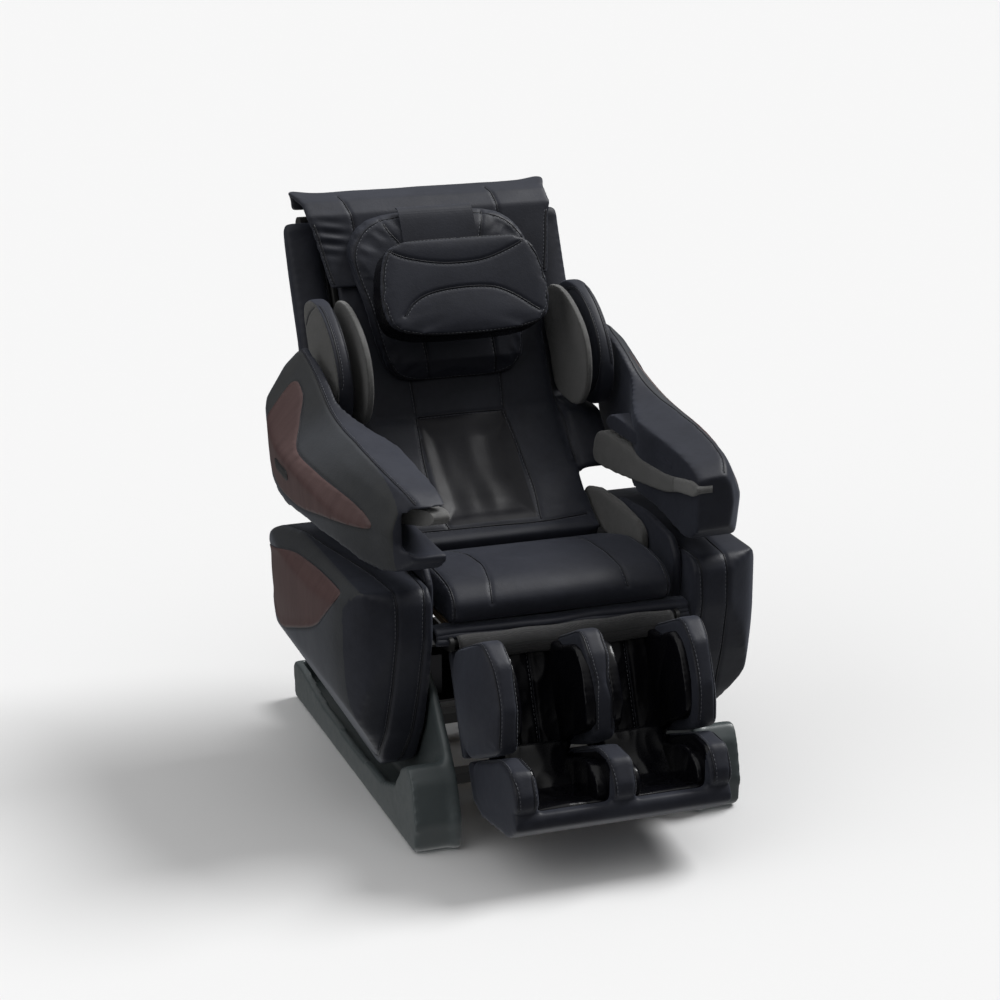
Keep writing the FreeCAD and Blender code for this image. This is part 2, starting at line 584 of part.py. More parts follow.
# ---------------------------------------------------------------------------------------------------------
# Backrest: frame, shell, pads, cover, shoulder discs, massage track
# ---------------------------------------------------------------------------------------------------------
def make_back():
    low, high = track(-62, 14), track(560, 12)
    pieces = []
    for side_name, side in SIDES:
        pieces.append(cylinder_between("back_tube_" + side_name, (side * 215, low[0], low[1]),
                                       (side * 215, high[0], high[1]), "dims.tube_radius"))
        arm = [(112, 414), (114, 446), track(-90, -30), track(-45, 0), track(-45, 26), track(-84, 26),
               (150, 412)]
        start = 229 if side > 0 else -241
        lever = plate("back_lever_" + side_name, arm, start, start + 12, 6)
        bore = cylinder_x("back_bore_" + side_name, RECLINE, "dims.pin_radius + dims.running_gap",
                          start - 2,
                          start + 14)
        pieces.append(cut("back_lever_bored_" + side_name, lever, bore))
    pieces.append(cylinder_x("back_cross_low", track(-62, 14), "dims.tube_radius", -236, 236))
    pieces.append(cylinder_x("back_cross_high", track(560, 12), "dims.tube_radius", -220, 220))
    lever_points = [around(RECLINE_PIN, 15, -90), around(RECLINE_PIN, 15, 0), track(-56, 22),
                    track(-72, 4),
                    around(RECLINE_PIN, 15, 180)]
    pieces += pin_with_ears("recline_lug", RECLINE_PIN, -100, lever_points)
    keep("back_frame", fuse("back_frame", pieces))

    rails = [cylinder_between("rail_rod_%d" % x, (x, *track(-30, 0)), (x, *track(530, 0)), 8.0)
             for x in (-150, 150)]
    screw = cylinder_between("lead_screw", (0, *track(-30, 0)), (0, *track(530, 0)), 7.0)
    ends = [box("track_end_%d" % i, (-170, track(s, 0)[0] - 12, track(s, 0)[1] - 12),
                (170, track(s, 0)[0] + 12, track(s, 0)[1] + 12)) for i, s in enumerate((-30, 530))]
    keep("massage_track", fuse("massage_track", rails + [screw] + ends))

    front = [(42, 494), (84, 506), (120, 530), (205, 602), (318, 702), (372, 800), (450, 950),
             (532, 1104), (560, 1130)]
    rear = [(600, 1120), track(570, -60), track(400, -66), track(100, -66), track(-20, -70),
            (240, 560), (150, 500),
            (106, 480), (98, 434), (78, 432), (68, 478)]
    middle = middle_pad("back_middle", rounded(front + rear, 26), "dims.back_half")
    wing = [(172, 590), (285, 698), (392, 704), (450, 850), (505, 960), (560, 1075), (575, 1112),
            (612, 1096),
            (590, 1030), (545, 930), (505, 850), (462, 745), (400, 690), (300, 645), (235, 612)]
    wings = [side_pad("back_wing_" + side_name, rounded(wing, 22), "dims.back_half",
                      "dims.back_full - dims.back_half",
                      side) for side_name, side in SIDES]
    keep("back_cushion", fuse("back_cushion", [middle] + wings))

    cover = [(446, 978), (502, 1090), (522, 1132), (560, 1156), (640, 1163), (668, 1122), (656, 1116),
             (632, 1150),
             (566, 1143), (536, 1122), (518, 1092), (460, 980)]
    keep("back_cover", middle_pad("back_cover", rounded(cover, 6), "dims.cover_half"))

    head = [(362, 802), (330, 798), (334, 822), (392, 936), (468, 1090), (488, 1124), (504, 1122),
            (496, 1092),
            (421, 936)]
    keep("head_pad", soften(middle_pad("head_pad", rounded(head, 12), "dims.head_half"), 5))
    shell_outside = [(344, 482), (438, 600), (552, 790), (642, 970), (682, 1070), (672, 1104), (618, 1108),
                     track(560, 30), track(400, 30), track(0, 30), track(-70, 30)]
    inside = [(352, 504), (431, 606), (544, 794), (634, 973), (674, 1072), (664, 1098), (606, 1098),
              track(560, -20), track(-60, -20), (310, 510)]
    shell = middle_pad("back_shell", rounded(shell_outside, 24), "dims.shell_half")
    pocket = add_pocket(shell, rounded(inside, 18), "YZ_Plane", 0.0, "2 * (dims.shell_half - 5)")
    pocket.Midplane = True
    keep("back_shell", shell)

    inner_disc = [(400, 962), (330, 962), (262, 938), (192, 886), (168, 825), (182, 762), (222, 724),
                  (290, 716),
                  (372, 738), (404, 800), (446, 880)]
    outer_disc = [(452, 952), (380, 969), (300, 946), (222, 886), (188, 818), (196, 758), (226, 722),
                  (300, 712),
                  (380, 726), (408, 790), (440, 862)]
    for side_name, side in SIDES:
        disc = side_pad("shoulder_inner_" + side_name, smooth(inner_disc), "dims.disc_inner",
                        "dims.disc_inner_thick", side)
        keep("shoulder_inner_" + side_name, soften(disc, 3))
        disc = side_pad("shoulder_outer_" + side_name, smooth(outer_disc), "dims.disc_outer",
                        "dims.disc_outer_thick", side)
        hub_start = 261 if side > 0 else -286
        hub = cylinder_x("shoulder_hub_" + side_name, (330, 845), 30.0, hub_start, hub_start + 25)
        keep("shoulder_outer_" + side_name, fuse("shoulder_outer_" + side_name, [soften(disc, 6), hub]))

    pillow_mid = (312, 984)
    pillow = [(pillow_mid[0] + along * math.sin(BACK_LEAN) - front * math.cos(BACK_LEAN),
               pillow_mid[1] + along * math.cos(BACK_LEAN) + front * math.sin(BACK_LEAN))
              for along,
              front in ((-94, -30), (-100, 20), (-66, 62), (0, 74), (60, 66), (96, 36), (104, -20),
                                   (84, -60), (0, -84), (-76, -60))]
    keep("pillow", soften(middle_pad("pillow", smooth(pillow), "dims.pillow_half"), 26))


# ---------------------------------------------------------------------------------------------------------
# Massage carriage: runs on the track, with two kneading arms and four rollers
# ---------------------------------------------------------------------------------------------------------
KNEAD = track(150, -14)          # axle of the kneading arms
ROLLERS = (("upper", track(205, -34)), ("lower", track(95, -34)))


def make_carriage():
    body = [track(105, 34), track(105, 10), track(195, 10), track(195, 34)]
    pieces = [plate("carriage_plate", body, -170, 170, 4)]
    for x in (-150, 150):
        ring = cylinder_between("slider_%d" % x, (x, *track(115, 0)), (x, *track(185, 0)), 15.0)
        hole = cylinder_between("slider_bore_%d" % x, (x, *track(110, 0)), (x, *track(190, 0)),
                                "8 + dims.running_gap")
        pieces.append(cut("slider_bored_%d" % x, ring, hole))
    pieces.append(cylinder_x("knead_axle", KNEAD, 6.0, -110, 110))
    for x in (-104, 96):
        ear = [track(135, 12), track(135, -24), track(165, -24), track(165, 12)]
        pieces.append(plate("knead_ear_%d" % (x + 200), ear, x, x + 8, 4))
    keep("massage_carriage", fuse("massage_carriage", pieces))
    for side_name, side in SIDES:
        outline = [track(85, -26), track(95, -44), track(150, -26), track(205, -44), track(215, -26),
                   track(160, -2), track(140, -2)]
        start = 60 if side > 0 else -68
        lever = plate("knead_lever_" + side_name, outline, start, start + 8, 5)
        hole = cylinder_x("knead_bore_" + side_name, KNEAD, "6 + dims.running_gap", start - 1, start + 9)
        pieces = [cut("knead_bored_" + side_name, lever, hole)]
        axle_start = 30 if side > 0 else -64
        for level, centre in ROLLERS:
            pieces.append(cylinder_x("roller_axle_%s_%s" % (level, side_name), centre, 4.0, axle_start,
                                     axle_start + 34))
        keep("knead_arm_" + side_name, fuse("knead_arm_" + side_name, pieces))
        for level, centre in ROLLERS:
            name = "roller_%s_%s" % (level, side_name)
            start = 32 if side > 0 else -58
            wheel = cylinder_x(name + "_tread", centre, "dims.roller_radius", start, start + 26)
            hole = cylinder_x(name + "_bore", centre, "4 + dims.running_gap", start - 1, start + 27)
            keep(name, cut(name, wheel, hole))


# ---------------------------------------------------------------------------------------------------------
# Leg rest and foot rest
# ---------------------------------------------------------------------------------------------------------
def make_leg_rest():
    wall = [leg(-50, 14), leg(-20, 14), leg(-20, 236), leg(-50, 236)]
    tray = middle_pad("calf_tray", rounded(wall, 8), "dims.leg_half")
    holes = [cylinder_between("guide_hole_%d" % x, (x, *leg(-35, 60)), (x, *leg(-35, 240)),
                              "7 + dims.running_gap") for x in (-110, 110)]
    for i, hole in enumerate(holes):
        tray = cut("calf_tray_%d" % i, tray, hole)
    notch = plate("yoke_notch", [leg(-58, 30), leg(-41, 30), leg(-41, 116), leg(-58, 116)], 95, 105, 2)
    pieces = [cut("calf_tray_notched", tray, notch)]
    for side_name, side in SIDES:
        start = 168 if side > 0 else -180
        knuckle = [leg(-48, 30), leg(-20, 30), leg(14, 2), leg(8, -13), leg(-12, -14)]
        lug = plate("leg_knuckle_" + side_name, knuckle, start, start + 12, 10)
        hole = cylinder_x("leg_bore_" + side_name, LEG, "dims.pin_radius + dims.running_gap",
                          start - 1, start + 13)
        pieces.append(cut("leg_knuckle_bored_" + side_name, lug, hole))
    ears = [leg(-46, 40), around(LEG_PIN, 12, 60), around(LEG_PIN, 12, -30), around(LEG_PIN, 12, -120),
            leg(-46, 100)]
    pieces += pin_with_ears("leg_lug", LEG_PIN, 100, ears)
    keep("calf_shell", fuse("calf_shell", pieces))

    outer = [leg(-19, 14), leg(60, 12), leg(166, 8), leg(206, 60), leg(208, 150), leg(172, 232),
             leg(60, 236),
             leg(-19, 236)]
    middle = [leg(-19, 14), leg(60, 10), leg(146, 6), leg(176, 60), leg(176, 150), leg(146, 232),
              leg(60, 236),
              leg(-19, 236)]
    pads = [soften(side_pad("calf_divider_" + side_name, rounded(outer, 34),
                            "dims.leg_half - dims.divider",
                            "dims.divider", side), 7) for side_name, side in SIDES]
    pads.append(soften(middle_pad("calf_divider_middle", rounded(middle, 34), "dims.divider / 2"), 7))
    keep("calf_pads", group("calf_pads", pads))

    foot_tray = [leg(-50, 244), leg(-19, 244), leg(-19, 320), leg(20, 344), leg(190, 350), leg(214, 356),
                 leg(206, 386), leg(150, 397), leg(0, 356), leg(-46, 322)]
    rods = [cylinder_between("guide_rod_%d" % x, (x, *leg(-35, 70)), (x, *leg(-35, 260)), 7.0)
            for x in (-110, 110)]
    keep("foot_shell",
         fuse("foot_shell", [middle_pad("foot_tray", rounded(foot_tray, 12), "dims.foot_half")] + rods))
    block = [leg(-18, 245), leg(160, 244), leg(224, 272), leg(232, 320), leg(222, 352), leg(190, 349),
             leg(21, 343), leg(-18, 319)]
    pads = [soften(side_pad("foot_divider_" + side_name, rounded(block, 20),
                            "dims.foot_half - dims.divider",
                            "dims.divider", side), 7) for side_name, side in SIDES]
    pads.append(soften(middle_pad("foot_divider_middle", rounded(block, 20), "dims.divider / 2"), 7))
    keep("foot_pads", group("foot_pads", pads))


def finish():
    doc.recompute()
    failed = [thing.Name for thing in doc.Objects if {"Invalid", "Error"} & set(thing.State)]
    for label, thing in nodes.items():
        shape = thing.Shape
        if shape.isNull() or not shape.isValid():
            failed.append(label)
    if failed:
        raise RuntimeError("not built: " + ", ".join(failed))
    if len(nodes) > 60:
        raise RuntimeError("too many nodes")
    os.makedirs("parts", exist_ok=True)
    for label, thing in nodes.items():
        thing.Shape.exportStep("parts/%s.step" % label)
        box_of = thing.Shape.BoundBox
        print("%-20s %5d solids %8.0f cm3  x %6.0f %6.0f  y %6.0f %6.0f  z %6.0f %6.0f" % (
            label, len(thing.Shape.Solids), thing.Shape.Volume / 1000, box_of.XMin, box_of.XMax,
            box_of.YMin,
            box_of.YMax, box_of.ZMin, box_of.ZMax))


make_base()
make_actuators()
make_seat()
make_arms()
make_back()
make_carriage()
make_leg_rest()
finish()
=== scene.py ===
import json
import math

import bmesh
import bpy
import numpy as np
from mathutils import Euler, Matrix, Vector, noise
from mathutils.bvhtree import BVHTree


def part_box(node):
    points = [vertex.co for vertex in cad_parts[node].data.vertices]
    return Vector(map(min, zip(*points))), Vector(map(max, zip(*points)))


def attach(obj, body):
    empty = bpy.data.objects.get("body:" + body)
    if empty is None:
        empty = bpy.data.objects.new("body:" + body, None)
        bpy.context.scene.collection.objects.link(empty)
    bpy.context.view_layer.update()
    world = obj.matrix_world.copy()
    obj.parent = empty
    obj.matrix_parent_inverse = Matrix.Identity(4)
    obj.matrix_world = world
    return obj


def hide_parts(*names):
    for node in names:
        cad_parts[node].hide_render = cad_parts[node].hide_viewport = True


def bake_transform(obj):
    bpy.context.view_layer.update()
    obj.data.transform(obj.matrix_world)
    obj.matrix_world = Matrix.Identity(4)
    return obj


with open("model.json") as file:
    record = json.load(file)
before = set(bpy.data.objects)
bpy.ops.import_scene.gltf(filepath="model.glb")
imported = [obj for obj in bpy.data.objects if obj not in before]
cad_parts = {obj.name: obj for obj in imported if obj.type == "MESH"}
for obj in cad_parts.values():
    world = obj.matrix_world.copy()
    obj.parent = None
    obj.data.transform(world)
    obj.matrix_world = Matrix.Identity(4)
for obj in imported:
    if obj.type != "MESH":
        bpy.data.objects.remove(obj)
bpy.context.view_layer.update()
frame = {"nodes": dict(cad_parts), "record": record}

MM = 0.001
SIDES = (("left", 1), ("right", -1))
FAR = 1e9
SWELL_FRAMES = 20
STANDOFF, RAY_LENGTH = 0.12, 0.30   # a seam's rays start this far out and reach this far
SIDE_X = 0.45                       # about where the outer sides of arms and panels are


# ---- materials

class Nodes:
    """A small helper that adds and links the shader nodes of one material."""

    def __init__(self, name):
        self.material = bpy.data.materials.new(name)
        self.material.use_nodes = True
        self.tree = self.material.node_tree
        self.shader = self.tree.nodes["Principled BSDF"]
        self.where = self.add("ShaderNodeTexCoord").outputs["Object"]

    def add(self, kind, **values):
        node = self.tree.nodes.new(kind)
        for key, value in values.items():
            if key in node.inputs:
                node.inputs[key].default_value = value
            else:
                setattr(node, key, value)
        return node

    def link(self, output, target):
        self.tree.links.new(output, target)

    def noise(self, scale, detail=3.0, roughness=0.55, stretch=None):
        node = self.add("ShaderNodeTexNoise", Scale=scale, Detail=detail, Roughness=roughness)
        source = self.where
        if stretch:
            mapping = self.add("ShaderNodeMapping", Scale=stretch)
            self.link(source, mapping.inputs["Vector"])
            source = mapping.outputs["Vector"]
        self.link(source, node.inputs["Vector"])
        return node.outputs["Fac"]

    def ramp(self, source, stops):
        node = self.add("ShaderNodeValToRGB")
        elements = node.color_ramp.elements
        while len(elements) < len(stops):
            elements.new(0.5)
        for element, (place, colour) in zip(elements, stops):
            element.position = place
            element.color = (*colour, 1.0)
        self.link(source, node.inputs["Fac"])
        return node.outputs["Color"]

    def spread(self, source, low, high):
        node = self.add("ShaderNodeMapRange", **{"From Min": 0.3, "From Max": 0.7,
                                                 "To Min": low, "To Max": high})
        self.link(source, node.inputs["Value"])
        return node.outputs["Result"]

    def bump(self, layers):
        """Bump from several (height output, depth in metres) layers, one on the other."""
        normal = None
        for height, depth in layers:
            node = self.add("ShaderNodeBump", Distance=depth, Strength=1.0)
            self.link(height, node.inputs["Height"])
            if normal:
                self.link(normal, node.inputs["Normal"])
            normal = node.outputs["Normal"]
        self.link(normal, self.shader.inputs["Normal"])

    def set(self, **values):
        for key, value in values.items():
            self.shader.inputs[key.replace("_", " ")].default_value = value


def leather(name, dark, light, rough, grain=0.00025, sheen=0.12, crease=0.0012, coat=0.0,
            gloss=0.32):
    """Fine-grained coated leather: pebbled grain, slow creases, worn lighter patches."""
    n = Nodes(name)
    broad = n.noise(5.0, 4.0)
    fine = n.noise(60.0, 4.0)
    mix = n.add("ShaderNodeMath", operation="MULTIPLY_ADD")
    n.link(fine, mix.inputs[0])
    mix.inputs[1].default_value = 0.35
    n.link(broad, mix.inputs[2])
    n.link(n.ramp(mix.outputs[0], [(0.45, dark), (0.85, light)]), n.shader.inputs["Base Color"])
    n.link(n.spread(n.noise(14.0, 5.0), rough - 0.05, rough + 0.07), n.shader.inputs["Roughness"])
    pebble = n.add("ShaderNodeTexVoronoi", Scale=520.0, feature="SMOOTH_F1", Smoothness=0.6)
    n.link(n.where, pebble.inputs["Vector"])
    n.bump([(n.noise(9.0, 3.0, 0.4), crease), (n.noise(150.0, 3.0), grain),
            (pebble.outputs["Distance"], grain * 0.6)])
    n.set(Specular_IOR_Level=gloss, Sheen_Weight=sheen, Sheen_Roughness=0.5,
          Coat_Weight=coat, Coat_Roughness=0.12)
    n.shader.inputs["Sheen Tint"].default_value = (0.75, 0.82, 1.0, 1.0)
    return n.material


def fabric(name, dark, light):
    """Short-pile grey knit with a fine crossed weave."""
    n = Nodes(name)
    weave = n.add("ShaderNodeTexWave", Scale=420.0, Distortion=1.2, Detail=2.0,
                  bands_direction="Z")
    cross = n.add("ShaderNodeTexWave", Scale=420.0, Distortion=1.2, Detail=2.0,
                  bands_direction="Y")
    for node in (weave, cross):
        n.link(n.where, node.inputs["Vector"])
    both = n.add("ShaderNodeMath", operation="MULTIPLY")
    n.link(weave.outputs["Fac"], both.inputs[0])
    n.link(cross.outputs["Fac"], both.inputs[1])
    n.link(n.ramp(n.noise(40.0, 5.0), [(0.3, dark), (0.7, light)]), n.shader.inputs["Base Color"])
    n.link(n.spread(n.noise(90.0), 0.82, 0.95), n.shader.inputs["Roughness"])
    n.bump([(both.outputs[0], 0.0004), (n.noise(240.0), 0.0003)])
    n.set(Specular_IOR_Level=0.3, Sheen_Weight=0.35, Sheen_Roughness=0.6)
    return n.material


def wood(name):
    """Mauve-brown veneer with a fine upright grain under a satin lacquer."""
    n = Nodes(name)
    figure = n.noise(9.0, 6.0, 0.6, stretch=(1.0, 5.0, 0.45))
    pores = n.noise(120.0, 4.0, 0.7, stretch=(1.0, 4.0, 0.25))
    mix = n.add("ShaderNodeMath", operation="MULTIPLY_ADD")
    n.link(pores, mix.inputs[0])
    mix.inputs[1].default_value = 0.3
    n.link(figure, mix.inputs[2])
    n.link(n.ramp(mix.outputs[0], [(0.35, (0.075, 0.044, 0.043)), (0.6, (0.098, 0.058, 0.056)),
                                   (0.9, (0.120, 0.073, 0.070))]), n.shader.inputs["Base Color"])
    n.link(n.spread(pores, 0.38, 0.52), n.shader.inputs["Roughness"])
    n.bump([(pores, 0.0002)])
    n.set(Specular_IOR_Level=0.3, Coat_Weight=0.05, Coat_Roughness=0.3)
    return n.material


def plastic(name, dark, light, rough, texture=0.0001, metallic=0.0):
    """Moulded plastic or painted metal: faint mottling and a fine spark texture."""
    n = Nodes(name)
    n.link(n.ramp(n.noise(11.0, 5.0), [(0.3, dark), (0.7, light)]), n.shader.inputs["Base Color"])
    n.link(n.spread(n.noise(45.0, 4.0), rough - 0.05, rough + 0.06), n.shader.inputs["Roughness"])
    n.bump([(n.noise(700.0, 2.0), texture)])
    n.set(Metallic=metallic, Specular_IOR_Level=0.5)
    return n.material


BLACK = leather("black_leather", (0.012, 0.013, 0.019), (0.024, 0.026, 0.036), 0.50, gloss=0.25)
SIDE = leather("side_leather", (0.016, 0.017, 0.017), (0.030, 0.031, 0.030), 0.50, sheen=0.2)
# Glossy black lining, coloured darker than the black leather as painted shade for the deep
# channels of the leg rest.
GLOSSY_LINING_PAINTED_SHADE = leather("lining_leather", (0.002, 0.002, 0.003), (0.004, 0.004, 0.006), 0.25,
                 grain=0.00005, sheen=0.0, crease=0.002, coat=0.03, gloss=0.24)
PANEL_GLOSS = leather("lumbar_leather", (0.004, 0.004, 0.007), (0.009, 0.009, 0.013), 0.40,
                      grain=0.00012, sheen=0.02, crease=0.0015, gloss=0.24)
# Near-black gaiter cloth: its colour is painted shadow under the seat front.
GAITER_PAINTED_SHADE = fabric("gaiter_cloth_painted_shade", (0.004, 0.004, 0.005), (0.008, 0.008, 0.009))
DISC_FACE = fabric("disc_fabric", (0.030, 0.030, 0.027), (0.046, 0.046, 0.041))
FABRIC = fabric("grey_fabric", (0.040, 0.040, 0.038), (0.062, 0.062, 0.059))
# Pale fabric, coloured like the lit tips: painted highlight on the hand-pad tips and the
# shoulder-pad rims.
HIGHLIGHT_FABRIC = fabric("pale_fabric_painted_highlight", (0.10, 0.10, 0.098), (0.14, 0.14, 0.136))
WOOD = wood("wood_trim")
SKIRT = plastic("skirt_plastic", (0.072, 0.087, 0.090), (0.086, 0.102, 0.105), 0.34)
DARK = plastic("dark_plastic", (0.014, 0.014, 0.015), (0.022, 0.022, 0.023), 0.5, 0.0002)
HOUSING = plastic("actuator_plastic", (0.05, 0.05, 0.052), (0.07, 0.07, 0.072), 0.45)
STEEL = plastic("frame_steel", (0.030, 0.031, 0.034), (0.045, 0.046, 0.050), 0.42, metallic=0.6)
BRIGHT = plastic("bright_steel", (0.42, 0.42, 0.43), (0.55, 0.55, 0.56), 0.25, 0.00004, 1.0)
CARRIAGE = plastic("carriage_metal", (0.20, 0.20, 0.21), (0.28, 0.28, 0.29), 0.4, 0.0001, 1.0)
ROLLER = plastic("roller_rubber", (0.05, 0.035, 0.03), (0.075, 0.055, 0.045), 0.6, 0.0003)
RUBBER = plastic("dark_rubber", (0.012, 0.012, 0.012), (0.020, 0.020, 0.020), 0.75, 0.0003)
BOARD = plastic("pan_wood", (0.20, 0.13, 0.07), (0.30, 0.20, 0.11), 0.7, 0.0003)
THREAD = plastic("thread", (0.10, 0.105, 0.12), (0.15, 0.155, 0.17), 0.7, 0.0001)
# Near-black cord leather, darker than the black leather: painted shade in the seam grooves and in
# the gaps round the wood inlays.
SHADE_CORD = leather("shade_cord_leather", (0.006, 0.006, 0.008), (0.011, 0.011, 0.014), 0.38)
BY_SLOT = dict(
    black_leather=BLACK, lining_leather=GLOSSY_LINING_PAINTED_SHADE, side_leather=SIDE, wood_trim=WOOD,
    skirt_plastic=SKIRT, grey_fabric=FABRIC, dark_plastic=DARK, actuator_plastic=HOUSING,
    frame_steel=STEEL, bright_steel=BRIGHT, carriage_metal=CARRIAGE, roller_rubber=ROLLER,
    dark_rubber=RUBBER, pan_wood=BOARD)
for entry in frame["record"]["materials"]:
    for node_name in entry.get("nodes", []):
        obj = frame["nodes"].get(node_name)
        if obj:
            obj.data.materials.clear()
            obj.data.materials.append(BY_SLOT[entry["slot"]])


# ---- mesh helpers

def link_new(name, data):
    obj = bpy.data.objects.new(name, data)
    bpy.context.scene.collection.objects.link(obj)
    return obj


def make_object(name, mesh, material=None):
    obj = link_new(name, mesh)
    if material:
        mesh.materials.clear()
        mesh.materials.append(material)
    return obj


def from_arrays(name, points, faces, material):
    """A smooth-shaded object from vertices and faces."""
    mesh = bpy.data.meshes.new(name)
    mesh.from_pydata([tuple(p) for p in points], [], [tuple(f) for f in faces])
    mesh.update()
    mesh.polygons.foreach_set("use_smooth", [True] * len(mesh.polygons))
    return make_object(name, mesh, material)


def loft(rings):
    """Vertices and faces of a closed body through rings of equally many points."""
    rings = np.array(rings, float)
    count, sides = rings.shape[:2]
    faces = [(i * sides + k, i * sides + (k + 1) % sides, (i + 1) * sides + (k + 1) % sides,
              (i + 1) * sides + k) for i in range(count - 1) for k in range(sides)]
    last = (count - 1) * sides
    faces += [tuple(reversed(range(sides))), tuple(range(last, last + sides))]
    return rings.reshape(-1, 3), faces


def solid(name, verts, faces):
    """An object from vertices and faces, with every face turned outwards."""
    mesh = bpy.data.meshes.new(name)
    mesh.from_pydata([tuple(p) for p in verts], [], faces)
    bm = bmesh.new()
    bm.from_mesh(mesh)
    bmesh.ops.recalc_face_normals(bm, faces=bm.faces)
    bm.to_mesh(mesh)
    bm.free()
    return make_object(name, mesh)


def places(obj):
    co = np.empty(len(obj.data.vertices) * 3)
    obj.data.vertices.foreach_get("co", co)
    return co.reshape(-1, 3)


def directions(obj):
    n = np.empty(len(obj.data.vertices) * 3)
    obj.data.vertices.foreach_get("normal", n)
    return n.reshape(-1, 3)


def put(obj, co):
    obj.data.vertices.foreach_set("co", np.ascontiguousarray(co).ravel())
    obj.data.update()


def bake(obj):
    """Applies the object's modifiers."""
    bpy.context.view_layer.update()
    shaped = obj.evaluated_get(bpy.context.evaluated_depsgraph_get())
    mesh = bpy.data.meshes.new_from_object(shaped)
    obj.modifiers.clear()
    old = obj.data
    obj.data = mesh
    bpy.data.meshes.remove(old)
    return obj


def solid_from(name, nodes):
    """One mesh that holds copies of these CAD nodes' solids."""
    bm = bmesh.new()
    for node in nodes:
        bm.from_mesh(frame["nodes"][node].data)
    bmesh.ops.remove_doubles(bm, verts=bm.verts, dist=2e-5)
    mesh = bpy.data.meshes.new(name)
    bm.to_mesh(mesh)
    bm.free()
    return make_object(name, mesh)


def slab_from(name, outline, thickness, spot):
    """A plate over an outline of (across, up), its middle plane at depth 0, placed by spot."""
    plate = solid(name, *loft([[(a, depth, u) for a, u in outline]
                               for depth in (-thickness / 2, thickness / 2)]))
    plate.data.transform(spot)
    return plate


def soften(obj, voxel, relax, material):
    """Remeshes evenly and rounds the edges by relaxing."""
    remesh = obj.modifiers.new("Remesh", "REMESH")
    remesh.mode = "VOXEL"
    remesh.voxel_size = voxel
    smooth = obj.modifiers.new("Smooth", "SMOOTH")
    smooth.factor = 0.5
    smooth.iterations = relax
    bake(obj)
    obj.data.materials.clear()
    obj.data.materials.append(material)
    return obj


def refit(obj, nodes):
    """Stretches the rounded form back to the box of the CAD nodes it stands for."""
    corners = [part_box(node) for node in nodes]
    low = np.min([tuple(c[0]) for c in corners], axis=0)
    high = np.max([tuple(c[1]) for c in corners], axis=0)
    co = places(obj)
    mine_low, mine_high = co.min(0), co.max(0)
    put(obj, low + (co - mine_low) * (high - low) / (mine_high - mine_low))
    return obj


def form(name, nodes, voxel, relax, material):
    """A soft cover over CAD solids: remeshed, rounded, and as large as they are."""
    return refit(soften(solid_from(name, nodes), voxel, relax, material), nodes)


def refine(obj):
    """Subdivides once and shades smooth."""
    subdivide = obj.modifiers.new("Subdivide", "SUBSURF")
    subdivide.levels = subdivide.render_levels = 1
    bake(obj)
    obj.data.polygons.foreach_set("use_smooth", [True] * len(obj.data.polygons))
    return obj


def swell(obj, held, cap):
    """Blows the cover up by cloth simulation; held vertices stay, none moves past cap."""
    start = places(obj)
    group = obj.vertex_groups.new(name="held")
    group.add([int(i) for i in np.nonzero(held)[0]], 1.0, "REPLACE")
    cloth = obj.modifiers.new("Cloth", "CLOTH")
    cloth.settings.quality = 4
    cloth.settings.use_pressure = True
    cloth.settings.uniform_pressure_force = 4.0
    cloth.settings.effector_weights.gravity = 0.0
    cloth.settings.vertex_group_mass = "held"
    cloth.settings.tension_stiffness = cloth.settings.compression_stiffness = 30.0
    cloth.settings.shear_stiffness = 20.0
    cloth.settings.bending_stiffness = 2.0
    cloth.point_cache.frame_start, cloth.point_cache.frame_end = 1, SWELL_FRAMES
    for step in range(1, SWELL_FRAMES + 1):
        bpy.context.scene.frame_set(step)
    bake(obj)
    bpy.context.scene.frame_set(1)
    moved = places(obj) - start
    length = np.linalg.norm(moved, axis=1, keepdims=True)
    put(obj, start + moved * np.minimum(1.0, cap / np.maximum(length, 1e-9)))
    obj.vertex_groups.clear()
    return obj


def smooth_line(points, step=0.003, closed=False):
    """Even steps along the Catmull-Rom curve through the points."""
    p = np.array(points, float)
    if closed:
        p = np.vstack([p[-1], p, p[0], p[1]])
    else:
        p = np.vstack([2 * p[0] - p[1], p, 2 * p[-1] - p[-2]])
    out = []
    t = np.linspace(0, 1, 24, endpoint=False)[:, None]
    for a, b, c, d in zip(p, p[1:], p[2:], p[3:]):
        out.append(0.5 * (2 * b + (c - a) * t + (2 * a - 5 * b + 4 * c - d) * t ** 2
                          + (3 * b - a - 3 * c + d) * t ** 3))
    out.append(p[-2][None])
    out = np.vstack(out)
    run = np.concatenate([[0], np.cumsum(np.linalg.norm(np.diff(out, axis=0), axis=1))])
    count = max(2, int(run[-1] / step) + 1)
    even = np.linspace(0, run[-1], count)
    return np.stack([np.interp(even, run, out[:, i]) for i in range(3)], axis=1)


def unit(rows):
    return rows / np.maximum(np.linalg.norm(rows, axis=1, keepdims=True), 1e-9)


def line_gap(co, line, chunk=64, reach=0.05):
    """Distance from each point to the nearest sample of the line; FAR well beyond reach."""
    best = np.full(len(co), FAR)
    for i in range(0, len(line), chunk):
        part = line[i:i + chunk]
        low, high = part.min(0) - reach, part.max(0) + reach
        near = np.nonzero(((co > low) & (co < high)).all(1))[0]
        if len(near):
            gap = np.sqrt(((co[near, None] - part[None]) ** 2).sum(2)).min(1)
            best[near] = np.minimum(best[near], gap)
    return best


def surface(obj):
    """A tree of the object's faces, for rays and nearest points."""
    mesh = obj.data
    return BVHTree.FromPolygons([v.co for v in mesh.vertices],
                                [tuple(p.vertices) for p in mesh.polygons])


